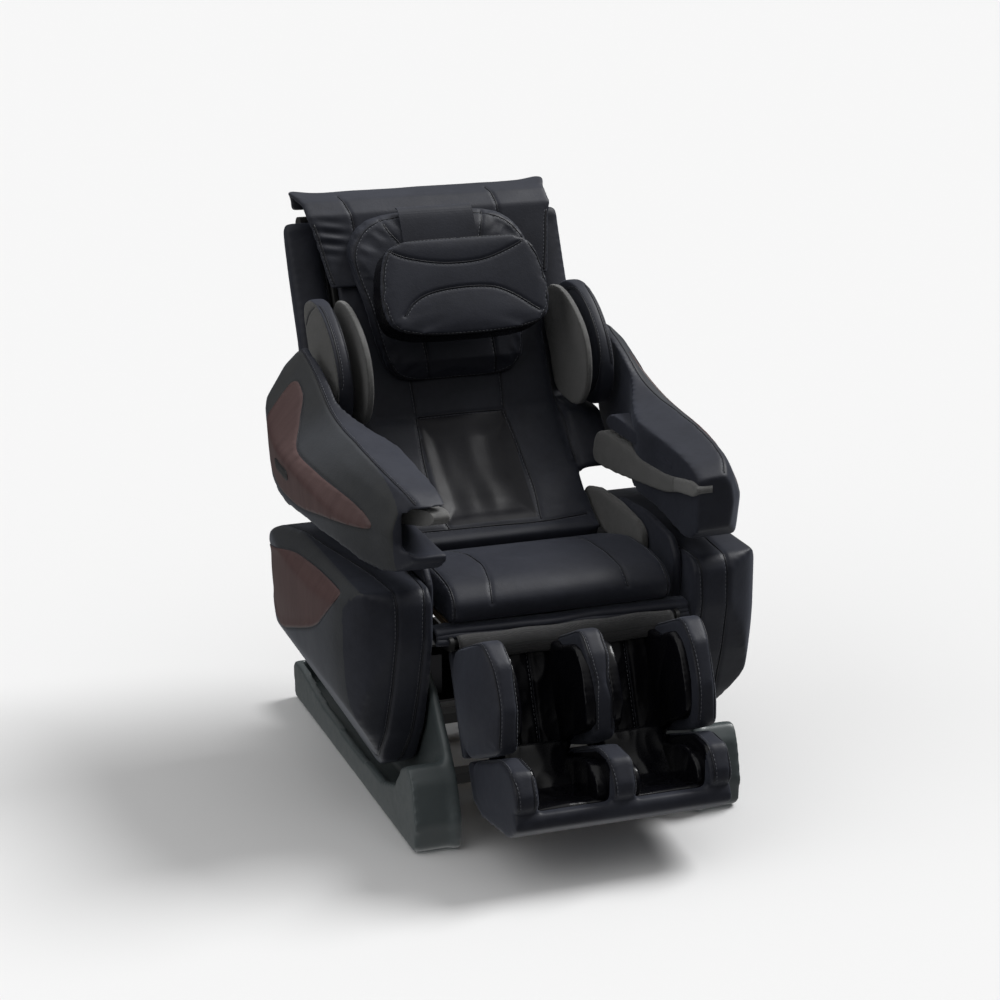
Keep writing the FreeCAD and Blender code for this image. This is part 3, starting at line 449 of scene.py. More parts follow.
def lay(tree, line, toward=None):
    """The line moved onto the surface: by a ray along toward, or to the nearest point."""
    points, normals = [], []
    for p in line:
        found = None
        if toward is not None:
            ray = Vector(toward)
            found = tree.ray_cast(Vector(p) - ray * STANDOFF, ray, RAY_LENGTH)
        if found is None or found[0] is None:
            found = tree.find_nearest(Vector(p))
        points.append(found[0])
        normals.append(found[1])
    points, normals = np.array(points), np.array(normals)
    kernel = np.ones(5) / 5
    if len(points) > 8:
        for _ in range(2):
            for data in (points, normals):
                for i in range(3):
                    padded = np.pad(data[:, i], 2, mode="edge")
                    data[:, i] = np.convolve(padded, kernel, "valid")
    return points, unit(normals)


def sweep(points, normals, radius, lift=0.0, sides=6):
    """Tube vertices and faces round a line that lies on a surface."""
    points = points + normals * lift
    tangents = unit(np.gradient(points, axis=0))
    across = unit(np.cross(tangents, normals))
    up = np.cross(across, tangents)
    angles = [2 * math.pi * k / sides for k in range(sides)]
    return loft(np.stack([points + (across * math.cos(a) + up * math.sin(a)) * radius
                          for a in angles], axis=1))


class Bundle:
    """Collects swept pieces into one mesh object."""

    def __init__(self):
        self.points, self.faces, self.count = [], [], 0

    def add(self, verts, faces):
        self.points.append(verts)
        self.faces += [tuple(i + self.count for i in f) for f in faces]
        self.count += len(verts)

    def build(self, name, material):
        return from_arrays(name, np.vstack(self.points), self.faces, material)


def sew(obj, body, lines, toward=None, groove=0.003, width=0.0045, shade_cord_radius=0.0013, stitch=(1,),
        offset=0.0045, thread=0.0006):
    """Presses seams into a cover and adds their cord, near-black as painted shade in the groove,
    and the rows of stitches beside them.
    """
    tree = surface(obj)
    laid = [lay(tree, smooth_line(np.array(line) * MM), toward) for line in lines]
    if groove:
        co, out = places(obj), directions(obj)
        deep = np.zeros(len(co))
        for points, _ in laid:
            deep = np.maximum(deep, groove * np.exp(-(line_gap(co, points) / width) ** 2))
        put(obj, co - out * deep[:, None])
    cords, dashes = Bundle(), Bundle()
    for points, normals in laid:
        if len(points) < 4:
            continue
        cords.add(*sweep(points, normals, shade_cord_radius, lift=-groove * 0.55))
        beside = np.cross(unit(np.gradient(points, axis=0)), normals)
        for side in stitch:
            row, row_out = lay(tree, points + beside * offset * side)
            for start in range(1, len(row) - 3, 3):
                piece = slice(start, start + 3)
                dashes.add(*sweep(row[piece], row_out[piece], thread, lift=-groove * 0.3, sides=4))
    # The cords are near-black: painted shade along each seam groove.
    for parts, ending, material in ((cords, "_seam_shade_cords", SHADE_CORD), (dashes, "_stitches", THREAD)):
        if parts.count:
            declare(parts.build(obj.name + ending, material), body)


def metres(outline):
    return [(a * MM, b * MM) for a, b in outline]


def whole(half):
    """A closed outline from its right half, which runs from the top middle to the bottom."""
    return half + [(-a, u) for a, u in reversed(half[1:-1])]


def declare(obj, body, nodes=()):
    """Declares a piece: its body and what it replaces."""
    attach(obj, body)
    if nodes:
        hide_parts(*nodes)
    return obj


def rounded_outline(points):
    """A closed outline smoothed through its corner points."""
    line = smooth_line([(a, 0.0, u) for a, u in points], step=0.008, closed=True)
    return [(p[0], p[2]) for p in line[:-1]]


def inlay(name, body, node, shell, outline, side, material=WOOD, proud=0.0012):
    """A thin plate that lies on the shell's outer surface, with a near-black cord in a shallow
    groove round it: a painted shadow gap.
    """
    step, thickness, outside = 0.006, 0.004, 0.60
    shape = np.array(rounded_outline(metres(outline)))
    ends = np.roll(shape, -1, axis=0)
    low, high = shape.min(0), shape.max(0)
    across = np.arange(low[0] - step, high[0] + 2 * step, step)
    along = np.arange(low[1] - step, high[1] + 2 * step, step)
    grid = np.stack(np.meshgrid(across, along, indexing="ij"), axis=-1)

    def within(p):
        rises = (shape[:, 1] > p[1]) != (ends[:, 1] > p[1])
        run = (p[1] - shape[:, 1]) / np.where(rises, ends[:, 1] - shape[:, 1], 1.0)
        return (rises & (p[0] < shape[:, 0] + run * (ends[:, 0] - shape[:, 0]))).sum() % 2 == 1

    quads = [((i, j), (i + 1, j), (i + 1, j + 1), (i, j + 1)) for i in range(len(across) - 1)
             for j in range(len(along) - 1) if within(grid[i, j] + step / 2)]
    uses = {}
    for quad in quads:
        for corner in quad:
            uses[corner] = uses.get(corner, 0) + 1
    keys = {corner: k for k, corner in enumerate(uses)}
    tree = surface(shell)
    border = smooth_line([(a, 0.0, u) for a, u in shape], step=0.002, closed=True)[:, [0, 2]]
    tops = []
    for corner, count in uses.items():
        p = grid[corner]
        if count < 4:
            p = border[np.argmin(((border - p) ** 2).sum(1))]
        hit = tree.ray_cast(Vector((outside * side, p[0], p[1])), Vector((-side, 0, 0)))[0]
        if hit is None:
            hit = tree.find_nearest(Vector((SIDE_X * side, p[0], p[1])))[0]
        tops.append((hit.x + proud * side, p[0], p[1]))
    count = len(tops)
    verts = tops + [(x - thickness * side, y, z) for x, y, z in tops]
    faces = [tuple(keys[c] for c in quad) for quad in quads]
    edges = dict.fromkeys(edge for face in faces for edge in zip(face, face[1:] + face[:1]))
    rim = [(a, b) for a, b in edges if (b, a) not in edges]
    faces += [tuple(reversed([v + count for v in face])) for face in faces]
    faces += [(b, a, a + count, b + count) for a, b in rim]
    if side < 0:
        faces = [tuple(reversed(face)) for face in faces]
    plate = from_arrays(name, np.array(verts), faces, material)
    declare(plate, body, [node] if node else ())
    edge = [(SIDE_X * side / MM, y, z) for y, z in outline + outline[:1]]
    # The near-black cord in a shallow groove round the plate is a painted shadow gap.
    sew(shell, body, [edge], toward=(-side, 0, 0), groove=0.0015, shade_cord_radius=0.0014, stitch=())


def soft_piece(name, node, voxel, relax, material, body):
    """A rounded cover that needs no other shaping."""
    piece = refine(form(name, [node], voxel, relax, material))
    return declare(piece, body, [node])


def near_lines(co, lines, reach):
    """Which points lie within reach of any of the lines, which are in mm."""
    gap = np.full(len(co), FAR)
    for line in lines:
        gap = np.minimum(gap, line_gap(co, smooth_line(np.array(line) * MM)))
    return gap < reach


def wobble(co, scale, seed):
    """Smooth repeatable noise, about -1 to 1, at each point."""
    shift = Vector((seed * 3.17, seed * 1.31, seed * 2.23))
    return np.array([noise.noise(Vector(p) * scale + shift) for p in co])


def paint(obj, material, wanted):
    """Gives the faces whose centre and direction pass the test a second material."""
    obj.data.materials.append(material)
    slot = len(obj.data.materials) - 1
    for face in obj.data.polygons:
        if wanted(face.center, face.normal):
            face.material_index = slot


# ---- seat

SEAT_SEAMS = [
    [(-150, 40, 506), (-140, -60, 520), (-132, -190, 523), (-141, -267, 519), (-152, -318, 500),
     (-154, -332, 486)],
    [(150, 40, 506), (141, -60, 520), (140, -190, 523), (143, -267, 519), (144, -318, 498),
     (144, -333, 484)],
]
SEAT_EDGES = [
    [(x, 52, 500), (x, -40, 514), (x, -130, 520), (x, -215, 521), (x, -290, 514), (x, -326, 488),
     (x, -326, 445)] for x in (-234, 234)
]
seat = form("seat_cushion_leather", ["seat_cushion"], 0.007, 7, BLACK)
rest = places(seat)
SEAT_LOW, SEAT_REAR = 0.450, 0.045   # it rests on its pan and against the backrest
held = near_lines(rest, SEAT_SEAMS, 0.008) | (rest[:, 2] < SEAT_LOW) | (rest[:, 1] > SEAT_REAR)
swell(seat, held, 0.009)
refine(seat)
sew(seat, "seat", SEAT_SEAMS, toward=(0, 0, -1))
sew(seat, "seat", SEAT_EDGES, groove=0.002)
declare(seat, "seat", ["seat_cushion"])


def valance():
    """Three leather folds that hang in slow waves under the front of the seat."""
    folds = Bundle()
    low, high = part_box("seat_flap")
    steps = 120
    # A fold's section from its upper to its lower edge: behind its front and below its top.
    section = ((0.014, 0.0), (0.005, 0.002), (0.001, 0.006), (0.0, 0.011), (0.002, 0.015),
               (0.006, 0.0165), (0.010, 0.014))
    for layer, (drop, reach, wave) in enumerate(((0.0, 0.0, 0.0016), (0.010, 0.004, 0.0026),
                                                 (0.020, 0.007, 0.0036))):
        rings = []
        for i in range(steps + 1):
            u = i / steps
            x = low.x + (high.x - low.x) * u
            sway = wave * (math.sin(u * 11.0 + layer * 0.8) + 0.4 * math.sin(u * 23 + layer))
            front = low.y - reach + 0.0012 * math.sin(u * 13 + layer * 1.7)
            top = high.z - drop + sway
            rings.append([(x, high.y, top + 0.002),
                          *[(x, front + behind, top - below) for behind, below in section],
                          (x, high.y, top - 0.006)])
        folds.add(*loft(rings))
    return folds.build("seat_valance", BLACK)


declare(valance(), "seat", ["seat_flap"])

for side, s in SIDES:
    soft_piece(f"hip_pad_{side}_fabric", f"hip_pad_{side}", 0.005, 3, FABRIC,
               "seat")
    soft_piece(f"side_bolster_{side}_leather", f"side_bolster_{side}", 0.005, 3, BLACK, "seat")


# ---- base skirts

for side, s in SIDES:
    soft_piece(f"skirt_{side}_moulding", f"skirt_{side}", 0.006, 5, SKIRT, "base")


# ---- side panels

PANEL_OUTER = [
    (430, 240, 508), (415, 60, 527), (392, -80, 532), (372, -200, 532), (363, -310, 528),
    (362, -345, 500), (363, -350, 436), (366, -323, 319), (369, -285, 216), (374, -235, 140),
    (385, -150, 96), (400, -40, 104),
]
PANEL_INNER = [
    (296, -200, 532), (298, -300, 528), (303, -343, 509), (306, -350, 433), (309, -315, 297),
    (313, -260, 174), (322, -210, 108),
]
PANEL_TUCK = 0.046
PANEL_WOOD = [
    (-245, 500), (-200, 512), (60, 500), (235, 462), (330, 432), (344, 390), (326, 330),
    (200, 296), (30, 345), (-120, 400), (-180, 440),
]
for side, s in SIDES:
    panel = form(f"side_panel_{side}_leather", [f"side_panel_{side}"], 0.008, 5, SIDE)
    refine(panel)
    co = places(panel)
    # The outer face leans in below its middle, most at the foot and not at the inner face.
    low = np.clip((0.40 - co[:, 2]) / 0.30, 0, 1)
    wide = np.clip((co[:, 0] * s - 0.290) / 0.185, 0, 1)
    co[:, 0] -= s * PANEL_TUCK * low ** 1.6 * wide
    put(panel, co)
    paint(panel, BLACK, lambda centre, out, s=s: out.y < -0.35 or out.x * s < 0.2)
    sew(panel, "seat",
        [[(x * s, y, z) for x, y, z in line] for line in (PANEL_OUTER, PANEL_INNER)])
    inlay(f"panel_wood_{side}_plate", "seat", f"panel_wood_{side}", panel, PANEL_WOOD, s)
    declare(panel, "seat", [f"side_panel_{side}"])


# ---- backrest

SLOPE = math.radians(27)
COLUMN = [
    [(-118, 530, 1100), (-108, 446, 940), (-104, 372, 800), (-102, 334, 732), (-104, 317, 701)],
    [(118, 530, 1100), (112, 446, 940), (112, 372, 800), (108, 334, 732), (104, 317, 701)],
]
LUMBAR = [
    [(-104, 317, 701), (-110, 272, 661), (-116, 229, 623), (-118, 150, 556), (-104, 81, 507)],
    [(104, 317, 701), (110, 272, 661), (114, 229, 623), (118, 150, 556), (110, 81, 507)],
    [(-104, 317, 701), (-40, 318, 702), (40, 318, 702), (104, 317, 701)],
    [(-226, 82, 509), (-104, 81, 507), (9, 80, 506), (110, 80, 505), (222, 82, 509)],
]
CREASES = [
    [(246 * s, 520, 1090), (246 * s, 465, 980), (241 * s, 420, 880), (236 * s, 376, 800),
     (234 * s, 335, 734), (234 * s, 301, 687), (234 * s, 244, 637), (236 * s, 190, 596)]
    for s in (-1, 1)
]
back = form("back_cushion_leather", ["back_cushion"], 0.009, 8, BLACK)
rest = places(back)
held = near_lines(rest, COLUMN + LUMBAR + CREASES, 0.010) | (rest[:, 1] > 0.56)
held |= directions(back)[:, 1] > 0.3
swell(back, held, 0.010)
refine(back)
co, out = places(back), directions(back)
# The low part fills the seat's width.
LOW_HALF_WIDTH, LOW_TOP, FLAP_TOP = 0.242, 0.64, 0.54
lower = np.clip((LOW_TOP - co[:, 2]) / 0.05, 0, 1) * np.clip(np.abs(co[:, 0]) / 0.2, 0, 1)
co[:, 0] *= 1 + lower * (LOW_HALF_WIDTH / np.abs(co[co[:, 2] < FLAP_TOP, 0]).max() - 1)
# The wings reach down a little at their roots.
wing_root = np.clip((np.abs(co[:, 0]) - 0.232) / 0.015, 0, 1)
wing_root *= np.clip((0.70 - co[:, 2]) / 0.08, 0, 1)
co[:, 2] -= 0.020 * wing_root * (co[:, 1] > 0.14)
# The lumbar panel is a shallow recess with slow folds.
RECESS_HALF_WIDTH, RECESS_LOW, RECESS_HIGH, RECESS_EDGE = 0.112, 0.507, 0.700, 0.04
RECESS_DEPTH, FOLD_DEPTH = 0.009, 0.0030
edge = np.minimum(
    np.clip((RECESS_HALF_WIDTH - abs(co[:, 0])) / RECESS_EDGE, 0, 1),
    np.clip(np.minimum(co[:, 2] - RECESS_LOW, RECESS_HIGH - co[:, 2]) / RECESS_EDGE, 0, 1))
edge = edge * edge * (3 - 2 * edge)
inside = edge * (out[:, 1] < -0.2)
folds = FOLD_DEPTH * wobble(co * np.array([1.0, 0.35, 0.35]), 24, 3)
put(back, co - out * (inside * (RECESS_DEPTH + folds))[:, None])
sew(back, "back", COLUMN + LUMBAR, toward=(0, 1, 0))
sew(back, "back", CREASES, toward=(0, 1, 0), groove=0.007, width=0.012, shade_cord_radius=0.001, stitch=())
paint(back, PANEL_GLOSS, lambda centre, out: abs(centre.x) < 0.106 and 0.512 < centre.z < 0.698
      and out.y < -0.2)
declare(back, "back", ["back_cushion"])

cover = form("back_cover_leather", ["back_cover"], 0.006, 4, BLACK)
refine(cover)
co, out = places(cover), directions(cover)
# Its upper corners are pulled to points, it narrows downwards, and it wrinkles at one side.
for s in (-1, 1):
    tip = np.array([0.292 * s, 0.615, 1.155])
    pull = np.exp(-(np.linalg.norm(co - tip, axis=1) / 0.032) ** 2)
    co = co + pull[:, None] * np.array([0.016 * s, 0.006, 0.010])
co[:, 0] *= np.interp(co[:, 2], (0.975, 1.00, 1.05, 1.10, 1.13),
                      (0.885, 0.905, 0.935, 0.970, 1.0))
wrinkle = np.sin(co[:, 2] * 260 + co[:, 0] * 40) * np.exp(-((co[:, 0] + 0.245) / 0.035) ** 2)
wrinkle *= np.exp(-((co[:, 2] - 1.085) / 0.035) ** 2) * (co[:, 1] < 0.56)
co = co + out * (0.0024 * wrinkle + 0.0012 * wobble(co, 14, 3))[:, None]
put(cover, co)
sew(cover, "back",
    [[(-198, 600, 1160), (-198, 571, 1157), (-192, 535, 1140), (-187, 505, 1110),
      (-184, 470, 1030)],
     [(157, 600, 1160), (157, 575, 1157), (160, 542, 1144), (160, 505, 1110), (160, 470, 1030)]])
sew(cover, "back",
    [[(284 * s, 640, 1160), (285 * s, 600, 1158), (284 * s, 547, 1131), (275 * s, 507, 1101),
      (264 * s, 475, 1045), (250 * s, 450, 985)] for s in (-1, 1)], groove=0.001, shade_cord_radius=0.002)
declare(cover, "back", ["back_cover"])


# The bib is made flat, and then laid over the backrest's profile of heights and depths.
BIB_OUTLINE = whole([
    (0.0, 1.129), (0.108, 1.126), (0.160, 1.115), (0.192, 1.092), (0.213, 1.055), (0.207, 1.005),
    (0.190, 0.945), (0.178, 0.880), (0.168, 0.830), (0.150, 0.795), (0.118, 0.776), (0.058, 0.771),
    (0.0, 0.771)])
BIB_HEIGHTS = (0.700, 0.772, 0.822, 0.936, 1.090, 1.124, 1.150)
BIB_DEPTHS = (0.300, 0.342, 0.345, 0.396, 0.470, 0.490, 0.512)
bib_edge = rounded_outline(BIB_OUTLINE)
bib = slab_from("head_pad_leather", bib_edge, 0.046, Matrix.Identity(4))
soften(bib, 0.006, 6, BLACK)
swell(bib, places(bib)[:, 1] > 0.005, 0.006)
refine(bib)
co = places(bib)
co[:, 1] += 0.022 + np.interp(co[:, 2], BIB_HEIGHTS, BIB_DEPTHS)
put(bib, co)


def on_bib(points):
    return [(x, float(np.interp(z * MM, BIB_HEIGHTS, BIB_DEPTHS)) * 1000, z) for x, z in points]


sew(bib, "back", [on_bib(line) for line in (
        [(-133, 1128), (-128, 1118), (-115, 1092), (-93, 1062), (-84, 1000), (-76, 900),
         (-70, 840), (-66, 780)],
        [(117, 1124), (108, 1108), (97, 1075), (94, 1040), (92, 900), (92, 840), (95, 780)])],
    toward=(0, 1, 0), groove=0.002)
BIB_MIDDLE = 0.95
rim = [(a * 0.955 * 1000, ((u - BIB_MIDDLE) * 0.965 + BIB_MIDDLE) * 1000) for a, u in bib_edge]
sew(bib, "back", [on_bib(rim[::3] + rim[:1])], toward=(0, 1, 0), groove=0.0015)
declare(bib, "back", ["head_pad"])

PILLOW_OUTLINE = whole([
    (0.0, 0.110), (0.110, 0.108), (0.158, 0.097), (0.180, 0.066), (0.192, 0.010), (0.193, -0.040),
    (0.180, -0.080), (0.140, -0.100), (0.070, -0.108), (0.0, -0.109)])
pillow_edge = rounded_outline(PILLOW_OUTLINE)
pillow_low, pillow_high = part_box("pillow")
to_pillow = Matrix.Translation((pillow_low + pillow_high) / 2) @ Matrix.Rotation(-SLOPE, 4, "X")
pillow = slab_from("pillow_leather", pillow_edge, 0.082, to_pillow)
soften(pillow, 0.006, 6, BLACK)
rest = np.array([to_pillow.inverted() @ Vector(p) for p in places(pillow)])


def to_mm(line):
    """Points of the pillow's own frame, in mm, placed in the chair."""
    return [tuple((to_pillow @ (Vector(p) * MM)) * 1000) for p in line]


ring = [(a * 0.955 * 1000, -33.0, u * 0.955 * 1000) for a, u in pillow_edge]
front_ring = to_mm(ring[::3] + ring[:1])
SMILE = to_mm([(-172, -38, 96), (-150, -41, 80), (-112, -43, 66), (-50, -44, 54), (10, -44, 52),
               (60, -44, 58), (114, -42, 76), (150, -40, 92)])
ARCH = to_mm([(-150, -38, -62), (-123, -40, -32), (-79, -42, -12), (-6, -43, -4), (63, -43, -8),
              (109, -41, -28), (150, -39, -58), (168, -38, -70)])
held = near_lines(places(pillow), [front_ring, SMILE, ARCH], 0.006) | (rest[:, 1] > 0.034)
swell(pillow, held, 0.012)
refine(pillow)
sew(pillow, "pillow", [SMILE, ARCH], toward=(0, math.cos(SLOPE), -math.sin(SLOPE)))
sew(pillow, "pillow", [front_ring], groove=0.002, shade_cord_radius=0.0018)
paint(pillow, GLOSSY_LINING_PAINTED_SHADE, lambda centre, out: (to_pillow.inverted() @ centre).y > -0.030)


def strap(path, half, thick):
    """The leather flap by which the pillow hangs from the top of the bib."""
    path = smooth_line(path, step=0.006)
    along = np.gradient(path, axis=0)
    away = np.stack([np.zeros(len(path)), -along[:, 2], along[:, 1]], axis=1)
    away = unit(away) * thick / 2
    across = [np.array([x, 0, 0]) for x in np.linspace(-half, half, 17)]
    return solid("strap", *loft([[p + n + x for x in across] + [p - n + x for x in across[::-1]]
                                 for p, n in zip(path, away)]))


flap = strap([(0, 0.514, 1.138), (0, 0.499, 1.138), (0, 0.482, 1.122), (0, 0.458, 1.080),
              (0, 0.437, 1.035), (0, 0.420, 1.000)], 0.088, 0.003)
joined = bmesh.new()
joined.from_mesh(flap.data)
joined.from_mesh(pillow.data)
joined.to_mesh(pillow.data)
joined.free()
bpy.data.objects.remove(flap)
declare(pillow, "pillow", ["pillow"])

for side, s in SIDES:
    inner = soft_piece(f"shoulder_inner_{side}_pad", f"shoulder_inner_{side}", 0.004, 2, FABRIC,
                       "back")
    # The rims of the inner pads get the pale fabric: a painted highlight along their edges.
    paint(inner, HIGHLIGHT_FABRIC, lambda centre, out: abs(out.x) < 0.45)
    outer = form(f"shoulder_outer_{side}_pad", [f"shoulder_outer_{side}"], 0.005, 3, BLACK)
    refine(outer)
    paint(outer, DISC_FACE, lambda centre, out, s=s: out.x * s > 0.8)
    low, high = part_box(f"shoulder_outer_{side}")
    middle, reach = (low + high) / 2, (high - low) / 2
    around = [2 * math.pi * k / 24 for k in range(25)]
    inset = 0.96
    sew(outer, "back",
        [[((middle.x + reach.x * place * s) / MM, (middle.y + reach.y * inset * math.cos(a)) / MM,
           (middle.z + reach.z * inset * math.sin(a)) / MM) for a in around]
         for place in (0.72, -0.72)], groove=0.0015, stitch=(-1,))
    declare(outer, "back", [f"shoulder_outer_{side}"])


# ---- arms

# Sections of an arm from the rear to the front: y, bottom z, then (|x|, z) for the inner top
# edge, the piped outer top edge, the shoulder, the widest point and the bottom outer edge.
ARM_SECTIONS = (
    (366, 730, (350, 852), (364, 858), (386, 832), (404, 792), (404, 730)),
    (350, 684, (345, 872), (362, 874), (398, 840), (434, 780), (430, 684)),
    (300, 622, (342, 866), (362, 865), (402, 816), (454, 742), (447, 622)),
    (215, 590, (339, 842), (362, 836), (404, 785), (467, 712), (456, 592)),
    (130, 592, (335, 802), (362, 799), (404, 760), (472, 702), (462, 592)),
    (50, 597, (304, 774), (362, 783), (402, 752), (472, 696), (462, 598)),
    (-60, 600, (270, 758), (362, 776), (399, 745), (464, 684), (456, 600)),
    (-200, 592, (270, 750), (360, 766), (392, 735), (438, 662), (432, 592)),
    (-300, 576, (270, 742), (352, 754), (378, 724), (404, 662), (398, 576)),
    (-360, 582, (270, 730), (342, 741), (360, 715), (378, 664), (368, 584)),
    (-392, 606, (270, 716), (330, 722), (344, 702), (350, 664), (342, 610)),
)


def arm_solid(name, side):
    """The arm's body lofted through its sections, less the blocks of the hand cavity.

    The left arm's blocks are mirrored, so their faces point inwards and it stays whole.
    """
    stations = np.array([[y, edges[0][0], low] + [v for edge in edges for v in edge]
                         for y, low, *edges in ARM_SECTIONS], float)
    stations = stations[::-1]
    depths = stations[:, 0]
    fine = np.linspace(depths[0], depths[-1], 72)
    table = np.empty((len(fine), stations.shape[1]))
    slopes = np.gradient(stations, depths, axis=0)
    for row, y in enumerate(fine):
        i = min(max(int(np.searchsorted(depths, y)) - 1, 0), len(depths) - 2)
        gap = depths[i + 1] - depths[i]
        t = (y - depths[i]) / gap
        a, b = stations[i], stations[i + 1]
        step = t * t * (3 - 2 * t)
        table[row] = ((1 - step) * a + (t ** 3 - 2 * t ** 2 + t) * gap * slopes[i]
                      + step * b + (t ** 3 - t ** 2) * gap * slopes[i + 1])
    body = solid(name, *loft([[(row[k] * side * MM, y * MM, row[k + 1] * MM)
                               for k in range(1, len(row), 2)] for y, row in zip(fine, table)]))
    cavity = [(0.255, -0.430), (0.326, -0.430), (0.348, -0.372), (0.372, -0.300), (0.398, -0.210),
              (0.398, 0.060), (0.255, 0.060)]
    notch = [(0.255, -0.430), (0.500, -0.430), (0.500, -0.366), (0.360, -0.362), (0.255, -0.340)]
    lying = Matrix(((side, 0, 0), (0, 0, 1), (0, 1, 0))).to_4x4()
    for number, (plan, low, high) in enumerate(((cavity, 0.620, 0.716), (notch, 0.632, 0.704))):
        middle = Matrix.Translation((0, 0, (low + high) / 2))
        block = slab_from(f"{name}_block_{number}", plan, high - low, middle @ lying)
        carve = body.modifiers.new("Carve", "BOOLEAN")
        carve.operation = "DIFFERENCE"
        carve.solver = "EXACT"
        carve.object = block
        bake(body)
        bpy.data.objects.remove(block)
    return body


ARM_SEAM = [
    (352, 362), (300, 362), (215, 362), (130, 362), (50, 362), (-60, 362), (-200, 360),
    (-300, 352), (-360, 342), (-386, 332),
]
HAND_PAD = [
    (166, 606), (168, 655), (130, 684), (40, 690), (-90, 684), (-220, 684), (-330, 702),
    (-378, 708), (-398, 696), (-372, 676), (-300, 664), (-223, 644), (-88, 626), (60, 608),
]
HAND_ROLL = [
    (96, 700), (96, 728), (40, 736), (-120, 728), (-240, 718), (-262, 706), (-240, 696),
    (-100, 700),
]
ARM_WOOD = [
    (-300, 660), (-240, 690), (-60, 708), (90, 722), (170, 760), (230, 806), (290, 806),
    (270, 640), (60, 618), (-130, 640),
]
BADGE = [(76, 659), (76, 680), (126, 681), (176, 681), (177, 660), (126, 659)]
SIDE_VIEW = Matrix(((0, 1, 0), (1, 0, 0), (0, 0, 1))).to_4x4()


def hand_piece(name, outline, x, thickness, material):
    """A pad in the hand cavity, from its outline seen from the side."""
    spot = Matrix.Translation((x, 0, 0)) @ SIDE_VIEW
    piece = slab_from(name, rounded_outline(metres(outline)), thickness, spot)
    return soften(piece, 0.005, 5, material)


for side, s in SIDES:
    arm_body = f"arm_{side}"
    shell = soften(arm_solid(f"arm_{side}_leather", s), 0.006, 9, BLACK)
    refine(shell)
    paint(shell, SIDE, lambda centre, out, s=s: out.x * s > 0.35 and centre.x * s > 0.362
          and centre.y > -0.36)
    ridge = sorted((y, edges[1][1]) for y, low, *edges in ARM_SECTIONS)
    seam = [(x * s, y, float(np.interp(y, *zip(*ridge)))) for y, x in ARM_SEAM]
    sew(shell, arm_body, [seam], groove=0.0022, stitch=(s,))
    inlay(f"arm_wood_{side}_plate", arm_body, f"arm_wood_{side}", shell, ARM_WOOD, s)
    if side == "right":
        inlay("blank_badge", arm_body, None, shell, BADGE, s, DARK, 0.0030)
    declare(shell, arm_body, [f"arm_shell_{side}"])
    rest_pad = hand_piece(f"hand_pad_{side}_fabric", HAND_PAD, 0.328 * s, 0.128, FABRIC)
    co = places(rest_pad)
    limit = np.interp(co[:, 1], (-0.400, -0.360, -0.300, -0.200), (0.298, 0.314, 0.348, 0.384))
    co[:, 0] = s * np.minimum(co[:, 0] * s, limit)
    put(rest_pad, co)
    refine(rest_pad)
    # The front tip of the hand pad gets the pale fabric: a painted highlight where light catches
    # it.
    paint(rest_pad, HIGHLIGHT_FABRIC, lambda centre, out: centre.y < -0.28)
    declare(rest_pad, arm_body, [f"hand_pad_{side}"])
    press = hand_piece(f"hand_airbag_{side}_pad", HAND_ROLL, 0.330 * s, 0.122, BLACK)
    refine(press)
    declare(press, arm_body, [f"hand_airbag_{side}"])


# ---- leg rest

LEG = (-0.340, 0.410)   # y and z of the hinge
LEAN = math.radians(23)
LEG_IN = (0, math.cos(LEAN), -math.sin(LEAN))


def leg(x, f, d):
    """A point by its place in front of and down along the leg rest, in mm."""
    return (x, LEG[0] * 1000 - f * math.cos(LEAN) - d * math.sin(LEAN),
            LEG[1] * 1000 + f * math.sin(LEAN) - d * math.cos(LEAN))


def wrinkled(obj, depth, scale, seed):
    """Pulls a glossy lining into creases that run down it."""
    co, out = places(obj), directions(obj)
    crumple = np.abs(wobble(co * np.array([1.0, 1.0, 0.45]), scale, seed))
    fine = np.abs(wobble(co * np.array([1.0, 1.0, 0.6]), scale * 2.3, seed + 5))
    move = depth * (0.5 - crumple * 1.6) + depth * 0.4 * (0.4 - fine)
    put(obj, co + out * move[:, None])


ACROSS_LEG = Matrix(((0, 1, 0), (-math.cos(LEAN), 0, math.sin(LEAN)),
                     (math.sin(LEAN), 0, math.cos(LEAN)))).to_4x4()
DOWN_LEG = Matrix.Rotation(-LEAN, 4, "X")
LEG_ORIGIN = Matrix.Translation((0, *LEG))


def airbag(name, x, outline, thickness, body, seed, depth=0.004):
    """A glossy air cushion cover that stands on one side wall of a channel."""
    spot = Matrix.Translation((x * MM, 0, 0)) @ LEG_ORIGIN @ ACROSS_LEG
    points = metres([(f, -d) for f, d in outline])
    bag = slab_from(name, rounded_outline(points), thickness * MM, spot)
    # The air cushions take the near-black lining: painted shade in the channels.
    soften(bag, 0.005, 9, GLOSSY_LINING_PAINTED_SHADE)
    refine(bag)
    wrinkled(bag, depth, 13.0, seed)
    declare(bag, body)


calf = form("calf_pads_leather", ["calf_pads", "calf_shell"], 0.005, 2, BLACK)
rest = places(calf)
CALF_BAND = [(2, 14), (60, 12), (150, 12), (188, 46), (204, 90), (204, 160), (176, 226)]
calf_lines = [[leg(x, f, d) for f, d in CALF_BAND] for x in (-24, 24, -191, 191, -236, 236)]
out = directions(calf)
faces_rear = out @ LEG_IN > 0.3
swell(calf, near_lines(rest, calf_lines, 0.006) | faces_rear, 0.009)
refine(calf)
co = places(calf)
